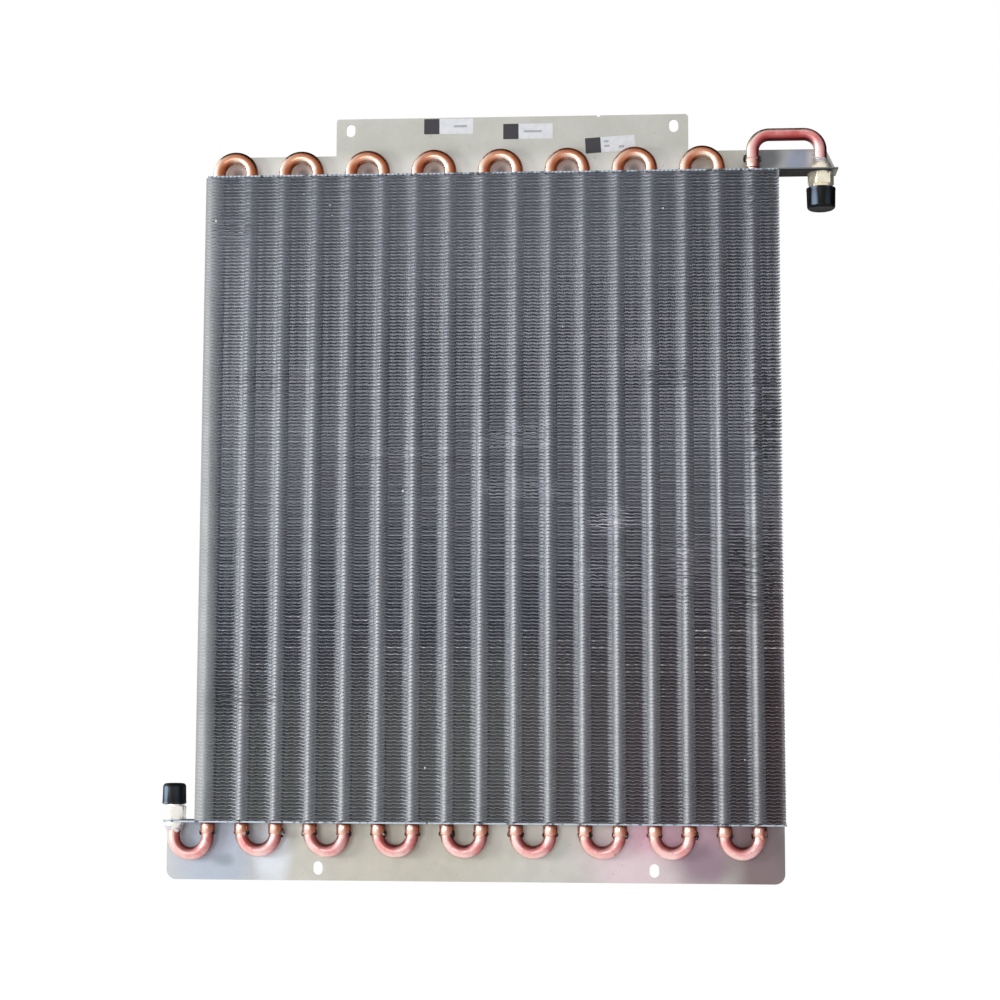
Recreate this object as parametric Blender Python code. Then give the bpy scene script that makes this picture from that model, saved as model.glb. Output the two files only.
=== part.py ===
"""Finned condenser coil: one row of upright copper tubes through a pack of thin fins.

The tubes are hairpins, folded at the top and joined by brazed return bends at the bottom. A folded
end plate closes the pack above and below, and each has a slotted flange along its rear edge. Two
brass flare unions with black caps end the circuit, one at the top right and one at the bottom left.

Frame: X runs along the row of tubes, Z along the tubes, and Y through the pack. The flanges' rear
faces lie at Y = 0 and the open front of the fins looks along -Y. The origin is midway between the
two slots of the lower flange.
"""
import math

import bmesh
import bpy
from mathutils import Vector

MM = 0.001

# Clearances
FIT_GAP = 0.3 * MM            # round a tube in a hole, bell or socket, and under a cap
SEAT_GAP = 0.3 * MM           # between two faces that meet

# Tubes
TUBE_COUNT = 17
TUBE_PITCH = 25.4 * MM
TUBE_OUTER = 9.52 * MM
TUBE_WALL = 0.5 * MM
HAIRPIN_RISE = 3.6 * MM       # straight tube above the upper plate before a hairpin's fold
BELL_START = 0.5 * MM         # where a tube end begins to widen, from the plate
BELL_TAPER = 1.0 * MM
BELL_DEPTH = 6.3 * MM         # parallel part of a widened end
INSERT_DEPTH = 6.0 * MM       # how far the next tube goes into it
RETURN_BEND_RADIUS = TUBE_PITCH / 2
RETURN_DROP = 8.0 * MM        # from the lower plate to a return bend's centre
OUTLET_DROP = 10.8 * MM       # the same for the bend that leads to the liquid union
INLET_RISE = 28.7 * MM        # from the upper plate to the gas line's level run
INLET_BEND_RADIUS = 12.5 * MM
INLET_REACH = 2 * TUBE_PITCH  # from the last tube to the gas union
OUTLET_REACH = TUBE_PITCH     # from the first tube to the liquid union
RISER_BELL_START = 2.5 * MM   # where the last tube's upper end begins to widen

# Fin pack
FIN_DEPTH = 22.0 * MM
FIN_LEFT_EDGE = 6.35 * MM     # from the first tube to the fins' left edge
FIN_RIGHT_EDGE = 19.05 * MM   # from the last tube to the fins' right edge
FIN_PITCH = 2.54 * MM
FIN_THICK = 0.4 * MM
CORE_WALL = 1.0 * MM          # round the tubes' passages
STACK_LOW_GAP = 0.4 * MM      # from the lower plate to the first fin

# End plates
COIL_HEIGHT = 486.4 * MM      # between the end plates' outer faces
PLATE_THICK = 1.2 * MM
PLATE_DEPTH = 22.4 * MM
FOLD_RADIUS = 1.4 * MM        # outside of the fold
LOWER_FLANGE_HEIGHT = 43.3 * MM
LOWER_CORNER_RADIUS = 7.5 * MM
LOWER_LEFT_MARGIN = 7.4 * MM  # of plate left of the liquid union's axis
LOWER_WEB_CORNER_RADIUS = 7.0 * MM  # of the level web's front corner beside that union
UPPER_STRIP_HEIGHT = 20.0 * MM
UPPER_TAB_HEIGHT = 49.0 * MM
UPPER_TAB_WIDTH = 270.0 * MM
UPPER_TAB_CORNER_RADIUS = 2.5 * MM
UPPER_STRIP_START = 2.5 * MM  # from the first tube's axis to the strip's left end, rightwards
UPPER_RIGHT_MARGIN = 12.0 * MM
STRIP_CHAMFER_WIDTH = 7.0 * MM
STRIP_CHAMFER_HEIGHT = 15.0 * MM
STRIP_CORNER_RADIUS = 4.0 * MM
NICK_RADIUS = 1.3 * MM
NICK_OFFSET = 66.7 * MM       # from the tab's middle

# Mounting slots
SLOT_WIDTH = 7.0 * MM
SLOT_LENGTH = 10.0 * MM
SLOT_EDGE = 9.0 * MM          # from a slot's middle to the flange's free edge
LOWER_SLOT_SPACING = 249.0 * MM
UPPER_SLOT_SPACING = 248.0 * MM
UPPER_SLOT_SHIFT = 18.1 * MM  # of the upper pair to the right of the lower pair
FIRST_TUBE_X = -205.55 * MM   # from midway between the lower slots

# Flare unions
UNION_NECK = 5.9 * MM         # radius where a union passes through its plate
UNION_SOCKET_DEPTH = 6.0 * MM
GAS_COLLAR_RADIUS = 8.3 * MM
GAS_COLLAR_HEIGHT = 8.0 * MM
GAS_HEX_ACROSS = 17.6 * MM
GAS_HEX_LENGTH = 9.2 * MM
GAS_HEX_TURN = math.radians(21.5)
GAS_RING_RADIUS = 8.7 * MM
GAS_RING_LENGTH = 2.4 * MM
GAS_THREAD_RADIUS = 7.9 * MM
GAS_THREAD_LENGTH = 11.0 * MM
GAS_BORE = 3.9 * MM
LIQUID_COLLAR_RADIUS = 7.0 * MM
LIQUID_COLLAR_HEIGHT = 4.6 * MM
LIQUID_HEX_ACROSS = 15.9 * MM
LIQUID_HEX_LENGTH = 10.0 * MM
LIQUID_HEX_TURN = math.radians(5.6)
LIQUID_RING_RADIUS = 7.6 * MM
LIQUID_RING_LENGTH = 1.2 * MM
LIQUID_THREAD_RADIUS = 6.4 * MM
LIQUID_THREAD_LENGTH = 9.5 * MM
LIQUID_BORE = 3.0 * MM
FLARE_LENGTH = 2.6 * MM       # cone at a union's open end
FLARE_RIM = 1.4 * MM          # wall left at the cone's tip

# Caps
GAS_CAP_RADIUS = 10.9 * MM
GAS_CAP_LENGTH = 16.2 * MM
LIQUID_CAP_RADIUS = 8.9 * MM
LIQUID_CAP_LENGTH = 15.0 * MM
CAP_TAPER = 0.4 * MM
CAP_ROUNDING = 2.6 * MM

# Labels: middle of each, from the tab's middle and the tab's top edge, and its tilt
LABEL_WIDTH = 38.0 * MM
LABEL_HEIGHT = 12.0 * MM
LABEL_THICK = 0.2 * MM
LABELS = (
    ("label_left", -48.2 * MM, 6.8 * MM, 0.0),
    ("label_middle", 12.7 * MM, 11.6 * MM, 0.0),
    ("label_right", 75.6 * MM, 22.7 * MM, math.radians(3.5)),
)

# Fineness of round shapes
TUBE_SIDES = 12
NICK_SIDES = 8
CORNER_STEPS = 3
ROUND_STEPS = 4
SMOOTH_ANGLE = math.radians(35)

# Worked out from the driving dimensions
TUBE_RADIUS = TUBE_OUTER / 2
TUBE_BORE = TUBE_RADIUS - TUBE_WALL
HOLE_RADIUS = TUBE_RADIUS + FIT_GAP
BELL_BORE = TUBE_RADIUS + FIT_GAP
BELL_RADIUS = BELL_BORE + TUBE_WALL
BELL_END = BELL_START + BELL_TAPER + BELL_DEPTH
TUBE_Y = -PLATE_DEPTH / 2
LAST_TUBE_X = FIRST_TUBE_X + (TUBE_COUNT - 1) * TUBE_PITCH
GAS_UNION_X = LAST_TUBE_X + INLET_REACH
LIQUID_UNION_X = FIRST_TUBE_X - OUTLET_REACH
LOWER_FACE_Z = LOWER_FLANGE_HEIGHT - SLOT_EDGE
UPPER_FACE_Z = LOWER_FACE_Z + COIL_HEIGHT
FINS_LEFT_X = FIRST_TUBE_X - FIN_LEFT_EDGE
FINS_RIGHT_X = LAST_TUBE_X + FIN_RIGHT_EDGE
UPPER_TAB_X = UPPER_SLOT_SHIFT
UPPER_SLOT_Z = UPPER_FACE_Z + UPPER_TAB_HEIGHT - SLOT_EDGE
CUTTER_REACH = 3 * PLATE_THICK  # how far a cutter stands out on each side of a sheet

COPPER = ("copper", (0.80, 0.36, 0.22), 0.30, 1.0)
ALUMINIUM = ("fin_aluminium", (0.55, 0.57, 0.60), 0.45, 1.0)
GALVANISED = ("galvanised_steel", (0.62, 0.60, 0.57), 0.35, 1.0)
BRASS = ("brass", (0.83, 0.68, 0.38), 0.35, 1.0)
BLACK_RUBBER = ("black_rubber", (0.015, 0.016, 0.020), 0.40, 0.0)
PAPER = ("label_paper", (0.85, 0.85, 0.85), 0.55, 0.0)


def clear_scene():
    """Removes whatever objects the open file holds."""
    for obj in list(bpy.data.objects):
        bpy.data.objects.remove(obj, do_unlink=True)


def make_material(spec):
    """Returns the named material, made on first use."""
    name, colour, roughness, metallic = spec
    found = bpy.data.materials.get(name)
    if found:
        return found
    material = bpy.data.materials.new(name)
    material.use_nodes = True
    shader = material.node_tree.nodes["Principled BSDF"]
    shader.inputs["Base Color"].default_value = (*colour, 1.0)
    shader.inputs["Roughness"].default_value = roughness
    shader.inputs["Metallic"].default_value = metallic
    return material


def finish_mesh(name, bm, spec, smooth=True):
    """Turns a bmesh into a mesh with outward faces, its material and its shading."""
    bmesh.ops.recalc_face_normals(bm, faces=bm.faces)
    mesh = bpy.data.meshes.new(name)
    bm.to_mesh(mesh)
    bm.free()
    mesh.materials.append(make_material(spec))
    if smooth:
        mesh.shade_smooth()
        mesh.set_sharp_from_angle(angle=SMOOTH_ANGLE)
    return mesh


def place(name, mesh, frame, location=(0, 0, 0), tilt=0.0):
    """Puts an object on a mesh in the coil's frame; tilt turns it about Y."""
    obj = bpy.data.objects.new(name, mesh)
    bpy.context.scene.collection.objects.link(obj)
    obj.parent = frame
    obj.location = location
    obj.rotation_euler = (0, tilt, 0)
    return obj


def hide_cutter(obj):
    """Keeps a cutter out of renders and shows it as wire."""
    obj.hide_render = True
    obj.display_type = "WIRE"


def add_boolean(obj, cutter, operation):
    """Adds an exact Boolean that uses one cutter."""
    modifier = obj.modifiers.new(operation.lower(), "BOOLEAN")
    modifier.operation = operation
    modifier.object = cutter
    modifier.solver = "EXACT"


def ring_points(centre, tangent, radius, corner_turn=None):
    """Points of a round section, or of a hexagon when corner_turn is given.

    The section is square to a tangent that lies in the XZ plane. A hexagon's radius is half the
    distance across its flats, and corner_turn is the angle of one of its corners.
    """
    side = Vector((0, 1, 0)).cross(tangent)
    points = []
    for step in range(TUBE_SIDES):
        angle = 2 * math.pi * step / TUBE_SIDES
        reach = radius
        if corner_turn is not None:
            if step % 2 == 0:
                reach = radius / math.cos(math.pi / 6)
            angle += corner_turn
        points.append(centre + reach * (math.cos(angle) * Vector((0, 1, 0)) + math.sin(angle) * side))
    return points


def bridge(bm, lower, upper):
    """Joins two rings of vertices with quads."""
    count = len(lower)
    for index in range(count):
        following = (index + 1) % count
        bm.faces.new((lower[index], lower[following], upper[following], upper[index]))


def loop_of_rings(bm, rings):
    """Skins a closed loop of rings, as a hollow shape with both ends open needs."""
    made = [[bm.verts.new(point) for point in ring] for ring in rings]
    for index, ring in enumerate(made):
        bridge(bm, ring, made[(index + 1) % len(made)])


def stack_of_rings(bm, rings):
    """Skins a row of rings and caps its first and last one."""
    made = [[bm.verts.new(point) for point in ring] for ring in rings]
    for lower, upper in zip(made, made[1:]):
        bridge(bm, lower, upper)
    bm.faces.new(made[0])
    bm.faces.new(made[-1])


def bent_route(corners, radius):
    """Stations along a route in the XZ plane with each inner corner rounded.

    Returns pairs of position and direction of travel.
    """
    points = [Vector((x, 0, z)) for x, z in corners]
    stations = [(points[0], (points[1] - points[0]).normalized())]
    for before, corner, after in zip(points, points[1:], points[2:]):
        arriving = (corner - before).normalized()
        leaving = (after - corner).normalized()
        centre = corner - arriving * radius + leaving * radius
        for step in range(CORNER_STEPS + 1):
            angle = math.pi / 2 * step / CORNER_STEPS
            position = centre - leaving * radius * math.cos(angle) + arriving * radius * math.sin(angle)
            tangent = arriving * math.cos(angle) + leaving * math.sin(angle)
            if (position - stations[-1][0]).length > FIT_GAP:
                stations.append((position, tangent))
    stations.append((points[-1], (points[-1] - points[-2]).normalized()))
    return stations


def tube_mesh(name, sections):
    """A hollow tube through sections of position, direction, outer radius and bore radius."""
    bm = bmesh.new()
    outside = [ring_points(at, along, outer) for at, along, outer, bore in sections]
    inside = [ring_points(at, along, bore) for at, along, outer, bore in sections]
    loop_of_rings(bm, outside + inside[::-1])
    return finish_mesh(name, bm, COPPER)


def plain_sections(route):
    """Sections of the plain tube along a route."""
    return [(at, along, TUBE_RADIUS, TUBE_BORE) for at, along in route]


def bell_sections(x, face_z, outward, start, leaving):
    """Sections of a widened tube end that stands off a plate's outer face.

    outward is +1 above the upper plate and -1 below the lower one. The sections run from the plate
    to the mouth when leaving is true, and from the mouth to the plate otherwise.
    """
    steps = (
        (start, TUBE_RADIUS, TUBE_BORE),
        (start + BELL_TAPER, BELL_RADIUS, BELL_BORE),
        (start + BELL_TAPER + BELL_DEPTH, BELL_RADIUS, BELL_BORE),
    )
    along = Vector((0, 0, outward if leaving else -outward))
    made = [(Vector((x, 0, face_z + outward * off)), along, outer, bore) for off, outer, bore in steps]
    return made if leaving else made[::-1]


def make_hairpins(frame):
    """The folded tubes, each with two long legs widened at their lower ends."""
    top = COIL_HEIGHT + HAIRPIN_RISE + RETURN_BEND_RADIUS
    route = bent_route(((0, 0), (0, top), (TUBE_PITCH, top), (TUBE_PITCH, 0)), RETURN_BEND_RADIUS)
    sections = bell_sections(0, 0, -1, BELL_START, leaving=False)
    sections += plain_sections(route[1:-1])
    sections += bell_sections(TUBE_PITCH, 0, -1, BELL_START, leaving=True)
    mesh = tube_mesh("hairpin", sections)
    for index in range((TUBE_COUNT - 1) // 2):
        x = FIRST_TUBE_X + 2 * index * TUBE_PITCH
        place(f"hairpin_tube_{index + 1}", mesh, frame, (x, TUBE_Y, LOWER_FACE_Z))


def make_straight_tube(frame):
    """The last tube of the row, widened at both ends."""
    sections = bell_sections(0, 0, -1, BELL_START, leaving=False)
    sections += bell_sections(0, COIL_HEIGHT, 1, RISER_BELL_START, leaving=True)
    mesh = tube_mesh("straight", sections)
    place("straight_tube", mesh, frame, (LAST_TUBE_X, TUBE_Y, LOWER_FACE_Z))


def make_return_bends(frame):
    """The short bends that join one hairpin to the next below the lower plate."""
    bottom = -RETURN_DROP - RETURN_BEND_RADIUS
    end = INSERT_DEPTH - BELL_END
    route = bent_route(((0, end), (0, bottom), (TUBE_PITCH, bottom), (TUBE_PITCH, end)), RETURN_BEND_RADIUS)
    mesh = tube_mesh("return", plain_sections(route))
    for index in range((TUBE_COUNT - 1) // 2):
        x = FIRST_TUBE_X + (2 * index + 1) * TUBE_PITCH
        place(f"return_bend_{index + 1}", mesh, frame, (x, TUBE_Y, LOWER_FACE_Z))


def make_gas_inlet(frame):
    """The line from the last tube's upper end over to the gas union."""
    foot = RISER_BELL_START + BELL_TAPER + BELL_DEPTH - INSERT_DEPTH
    end = SEAT_GAP + GAS_COLLAR_HEIGHT - UNION_SOCKET_DEPTH + FIT_GAP
    corners = ((0, foot), (0, INLET_RISE), (INLET_REACH, INLET_RISE), (INLET_REACH, end))
    mesh = tube_mesh("inlet", plain_sections(bent_route(corners, INLET_BEND_RADIUS)))
    place("gas_inlet_tube", mesh, frame, (LAST_TUBE_X, TUBE_Y, UPPER_FACE_Z))


def make_liquid_outlet(frame):
    """The bend from the first tube's lower end over to the liquid union."""
    bottom = -OUTLET_DROP - OUTLET_REACH / 2
    union_end = -SEAT_GAP - LIQUID_COLLAR_HEIGHT + UNION_SOCKET_DEPTH - FIT_GAP
    tube_end = INSERT_DEPTH - BELL_END
    corners = ((0, union_end), (0, bottom), (OUTLET_REACH, bottom), (OUTLET_REACH, tube_end))
    mesh = tube_mesh("outlet", plain_sections(bent_route(corners, OUTLET_REACH / 2)))
    place("liquid_outlet_bend", mesh, frame, (LIQUID_UNION_X, TUBE_Y, LOWER_FACE_Z))


def union_mesh(name, outward, collar, collar_height, across, hex_length, turn, ring, ring_length,
               thread, thread_length, bore):
    """A flare union turned about Z, from its collar to the cone at its open end.

    Heights count from the plate's outer face. outward is +1 where the collar stands above the
    plate and -1 where it hangs below, and the threaded end always points the other way.
    """
    up = Vector((0, 0, 1))
    collar_end = SEAT_GAP + collar_height
    hex_start = -PLATE_THICK - SEAT_GAP
    hex_end = hex_start - hex_length
    ring_end = hex_end - ring_length
    thread_end = ring_end - thread_length
    cone_end = thread_end - FLARE_LENGTH
    half = across / 2
    outline = (
        (collar_end, HOLE_RADIUS + TUBE_WALL, None),
        (collar_end - collar_height / 3, (collar + UNION_NECK) / 2, None),
        (SEAT_GAP + collar_height / 3, collar, None),
        (SEAT_GAP, collar, None),
        (SEAT_GAP, UNION_NECK, None),
        (hex_start, UNION_NECK, None),
        (hex_start, half, turn),
        (hex_end, half, turn),
        (hex_end, ring, None),
        (ring_end, ring, None),
        (ring_end, thread, None),
        (thread_end, thread, None),
        (cone_end, bore + FLARE_RIM, None),
        (cone_end, bore, None),
        (collar_end - UNION_SOCKET_DEPTH, bore, None),
        (collar_end - UNION_SOCKET_DEPTH, HOLE_RADIUS, None),
        (collar_end, HOLE_RADIUS, None),
    )
    bm = bmesh.new()
    rings = [ring_points(Vector((0, 0, outward * z)), up, radius, angle) for z, radius, angle in outline]
    loop_of_rings(bm, rings)
    return finish_mesh(name, bm, BRASS), ring_end, cone_end


def cap_mesh(name, outward, radius, length, thread, depth):
    """A soft cap: a cup open at its mouth, which stands at z = 0 and faces the union."""
    up = Vector((0, 0, 1))
    tip = radius - CAP_TAPER
    inside = thread + FIT_GAP
    profile = [(-depth, inside), (0, inside), (0, radius)]
    for step in range(ROUND_STEPS + 1):
        angle = math.pi / 2 * step / ROUND_STEPS
        z = -(length - CAP_ROUNDING) - CAP_ROUNDING * math.sin(angle)
        profile.append((z, tip - CAP_ROUNDING + CAP_ROUNDING * math.cos(angle)))
    bm = bmesh.new()
    stack_of_rings(bm, [ring_points(Vector((0, 0, outward * z)), up, reach) for z, reach in profile])
    return finish_mesh(name, bm, BLACK_RUBBER)


def make_unions(frame):
    """Both flare unions and the caps pushed over their threads."""
    specs = (
        ("gas", 1, (GAS_UNION_X, TUBE_Y, UPPER_FACE_Z),
         (GAS_COLLAR_RADIUS, GAS_COLLAR_HEIGHT, GAS_HEX_ACROSS, GAS_HEX_LENGTH, GAS_HEX_TURN,
          GAS_RING_RADIUS, GAS_RING_LENGTH, GAS_THREAD_RADIUS, GAS_THREAD_LENGTH, GAS_BORE),
         GAS_CAP_RADIUS, GAS_CAP_LENGTH, GAS_THREAD_RADIUS),
        ("liquid", -1, (LIQUID_UNION_X, TUBE_Y, LOWER_FACE_Z),
         (LIQUID_COLLAR_RADIUS, LIQUID_COLLAR_HEIGHT, LIQUID_HEX_ACROSS, LIQUID_HEX_LENGTH,
          LIQUID_HEX_TURN, LIQUID_RING_RADIUS, LIQUID_RING_LENGTH, LIQUID_THREAD_RADIUS,
          LIQUID_THREAD_LENGTH, LIQUID_BORE),
         LIQUID_CAP_RADIUS, LIQUID_CAP_LENGTH, LIQUID_THREAD_RADIUS),
    )
    for name, outward, location, sizes, cap_radius, cap_length, thread in specs:
        mesh, ring_end, cone_end = union_mesh(f"{name}_union", outward, *sizes)
        place(f"{name}_union", mesh, frame, location)
        mouth = ring_end - SEAT_GAP
        cap = cap_mesh(f"{name}_cap", outward, cap_radius, cap_length, thread, mouth - cone_end + FIT_GAP)
        x, y, z = location
        place(f"{name}_cap", cap, frame, (x, y, z + outward * mouth))


def comb_outline():
    """The fin pack's section in the YZ plane: a core with the fins' edges in front and behind."""
    available = COIL_HEIGHT - 2 * PLATE_THICK - STACK_LOW_GAP - SEAT_GAP - FIN_THICK
    count = int(available / FIN_PITCH) + 1
    low = LOWER_FACE_Z + PLATE_THICK + STACK_LOW_GAP
    front, rear = TUBE_Y - FIN_DEPTH / 2, TUBE_Y + FIN_DEPTH / 2
    core = HOLE_RADIUS + CORE_WALL
    levels = [low + index * FIN_PITCH for index in range(count)]
    points = []
    for level in levels:
        points += [(front, level), (front, level + FIN_THICK)]
        if level != levels[-1]:
            points += [(TUBE_Y - core, level + FIN_THICK), (TUBE_Y - core, level + FIN_PITCH)]
    for level in reversed(levels):
        points += [(rear, level + FIN_THICK), (rear, level)]
        if level != levels[0]:
            points += [(TUBE_Y + core, level), (TUBE_Y + core, level - FIN_PITCH + FIN_THICK)]
    return points


def extruded_mesh(name, outline, start, sweep, spec):
    """Extrudes an outline along a sweep; start turns each outline point into a corner."""
    bm = bmesh.new()
    face = bm.faces.new([bm.verts.new(start(*point)) for point in outline])
    moved = bmesh.ops.extrude_face_region(bm, geom=[face])["geom"]
    corners = [item for item in moved if isinstance(item, bmesh.types.BMVert)]
    bmesh.ops.translate(bm, vec=sweep, verts=corners)
    return finish_mesh(name, bm, spec, smooth=False)


def post_cutter(name, posts, low, high, frame):
    """One cutter of upright posts, each given as its x and radius, from low to high."""
    up = Vector((0, 0, 1))
    bm = bmesh.new()
    for x, radius in posts:
        ends = [ring_points(Vector((x, TUBE_Y, z)), up, radius) for z in (low, high)]
        stack_of_rings(bm, ends)
    cutter = place(name, finish_mesh(name, bm, GALVANISED, smooth=False), frame)
    hide_cutter(cutter)
    return cutter


def tube_posts():
    """The x and hole radius of every tube of the row."""
    return [(FIRST_TUBE_X + index * TUBE_PITCH, HOLE_RADIUS) for index in range(TUBE_COUNT)]


def make_fin_pack(frame):
    """The fins as one comb-shaped solid with a passage for each tube."""
    width = Vector((FINS_RIGHT_X - FINS_LEFT_X, 0, 0))
    mesh = extruded_mesh("fin_pack", comb_outline(), lambda y, z: (FINS_LEFT_X, y, z), width, ALUMINIUM)
    pack = place("fin_pack", mesh, frame)
    cutter = post_cutter("fin_passages", tube_posts(), LOWER_FACE_Z, UPPER_FACE_Z, frame)
    add_boolean(pack, cutter, "DIFFERENCE")


def rounded_corner(corner, before, after, radius):
    """Points of an arc that rounds one corner of an outline; the corner may have any angle."""
    here = Vector(corner)
    back = (Vector(before) - here).normalized()
    ahead = (Vector(after) - here).normalized()
    half = back.angle(ahead) / 2
    centre = here + (back + ahead).normalized() * radius / math.sin(half)
    first = here + back * radius / math.tan(half) - centre
    last = here + ahead * radius / math.tan(half) - centre
    points = []
    for step in range(CORNER_STEPS + 1):
        spoke = first.lerp(last, step / CORNER_STEPS).normalized() * radius
        points.append(tuple(centre + spoke))
    return points


def rounded_outline(corners):
    """An outline from corners of (x, z, radius), each rounded where its radius isn't zero."""
    points = []
    count = len(corners)
    for index, (x, z, radius) in enumerate(corners):
        before = corners[index - 1][:2]
        after = corners[(index + 1) % count][:2]
        points += rounded_corner((x, z), before, after, radius) if radius else [(x, z)]
    return points


def folded_sheet(name, left, right, face_z, outward, height, frame):
    """A sheet folded along its rear edge: a level web and an upright flange."""
    inner = FOLD_RADIUS - PLATE_THICK
    web = -PLATE_THICK
    section = [(-PLATE_DEPTH, 0), (-PLATE_DEPTH, web)]
    for step in range(CORNER_STEPS + 1):
        angle = -math.pi / 2 + math.pi / 2 * step / CORNER_STEPS
        section.append((-FOLD_RADIUS + FOLD_RADIUS * math.cos(angle),
                        web + FOLD_RADIUS + FOLD_RADIUS * math.sin(angle)))
    section += [(0, height), (-PLATE_THICK, height)]
    for step in range(CORNER_STEPS + 1):
        angle = -math.pi / 2 * step / CORNER_STEPS
        section.append((-FOLD_RADIUS + inner * math.cos(angle),
                        web + FOLD_RADIUS + inner * math.sin(angle)))
    mesh = extruded_mesh(name, section, lambda y, z: (left, y, face_z + outward * z),
                         Vector((right - left, 0, 0)), GALVANISED)
    return place(name, mesh, frame)


def plate_blank(name, outline, frame):
    """A prism over an outline in the XZ plane, used to trim a folded sheet to shape."""
    mesh = extruded_mesh(name, outline, lambda x, z: (x, -2 * PLATE_DEPTH, z),
                         Vector((0, 3 * PLATE_DEPTH, 0)), GALVANISED)
    blank = place(name, mesh, frame)
    hide_cutter(blank)
    return blank


def slot_outline(x, z):
    """An upright oblong with round ends."""
    radius = SLOT_WIDTH / 2
    straight = (SLOT_LENGTH - SLOT_WIDTH) / 2
    points = []
    for end, first in ((1, 0.0), (-1, math.pi)):
        for step in range(2 * CORNER_STEPS + 1):
            angle = first + math.pi * step / (2 * CORNER_STEPS)
            points.append((x + radius * math.cos(angle), z + end * straight + radius * math.sin(angle)))
    return points


def slot_cutter(name, middle_x, spacing, z, frame):
    """One cutter for the two slots of a flange."""
    bm = bmesh.new()
    for side in (-1, 1):
        outline = slot_outline(middle_x + side * spacing / 2, z)
        face = bm.faces.new([bm.verts.new((x, -CUTTER_REACH, height)) for x, height in outline])
        moved = bmesh.ops.extrude_face_region(bm, geom=[face])["geom"]
        corners = [item for item in moved if isinstance(item, bmesh.types.BMVert)]
        bmesh.ops.translate(bm, vec=(0, 2 * CUTTER_REACH, 0), verts=corners)
    cutter = place(name, finish_mesh(name, bm, GALVANISED, smooth=False), frame)
    hide_cutter(cutter)
    return cutter


def nick_cutter(name, x, z, frame):
    """A short round bar across a flange's edge."""
    angles = [math.tau * step / NICK_SIDES for step in range(NICK_SIDES)]
    across = [(x + NICK_RADIUS * math.cos(angle), z + NICK_RADIUS * math.sin(angle)) for angle in angles]
    mesh = extruded_mesh(name, across, lambda u, v: (u, -CUTTER_REACH, v),
                         Vector((0, 2 * CUTTER_REACH, 0)), GALVANISED)
    cutter = place(name, mesh, frame)
    hide_cutter(cutter)
    return cutter


def web_corner_cutter(name, left, front, radius, face_z, frame):
    """An upright cutter that rounds the front left corner of a level web, seen from above."""
    arc = rounded_corner((left, front), (left + radius, front), (left, front + radius), radius)
    beyond_x, beyond_y = left - CUTTER_REACH, front - CUTTER_REACH
    outline = [(beyond_x, beyond_y), (left + radius, beyond_y), *arc, (beyond_x, front + radius)]
    mesh = extruded_mesh(name, outline, lambda x, y: (x, y, face_z - CUTTER_REACH),
                         Vector((0, 0, 2 * CUTTER_REACH)), GALVANISED)
    cutter = place(name, mesh, frame)
    hide_cutter(cutter)
    return cutter


def make_lower_plate(frame):
    """The lower end plate: level under the fins, with a deep slotted flange that hangs down."""
    left = LIQUID_UNION_X - LOWER_LEFT_MARGIN
    right = FINS_RIGHT_X
    plate = folded_sheet("lower_end_plate", left, right, LOWER_FACE_Z, -1, LOWER_FLANGE_HEIGHT, frame)
    low = LOWER_FACE_Z - LOWER_FLANGE_HEIGHT
    high = LOWER_FACE_Z + 2 * PLATE_THICK
    outline = rounded_outline((
        (left, high, 0),
        (left, low, LOWER_CORNER_RADIUS),
        (right, low, LOWER_CORNER_RADIUS),
        (right, high, 0),
    ))
    add_boolean(plate, plate_blank("lower_blank", outline, frame), "INTERSECT")
    corner = web_corner_cutter("lower_web_corner", left, -PLATE_DEPTH, LOWER_WEB_CORNER_RADIUS,
                               LOWER_FACE_Z, frame)
    add_boolean(plate, corner, "DIFFERENCE")
    posts = tube_posts() + [(LIQUID_UNION_X, UNION_NECK + FIT_GAP)]
    holes = post_cutter("lower_holes", posts, LOWER_FACE_Z - CUTTER_REACH, LOWER_FACE_Z + CUTTER_REACH, frame)
    add_boolean(plate, holes, "DIFFERENCE")
    add_boolean(plate, slot_cutter("lower_slots", 0, LOWER_SLOT_SPACING, 0, frame), "DIFFERENCE")


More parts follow.
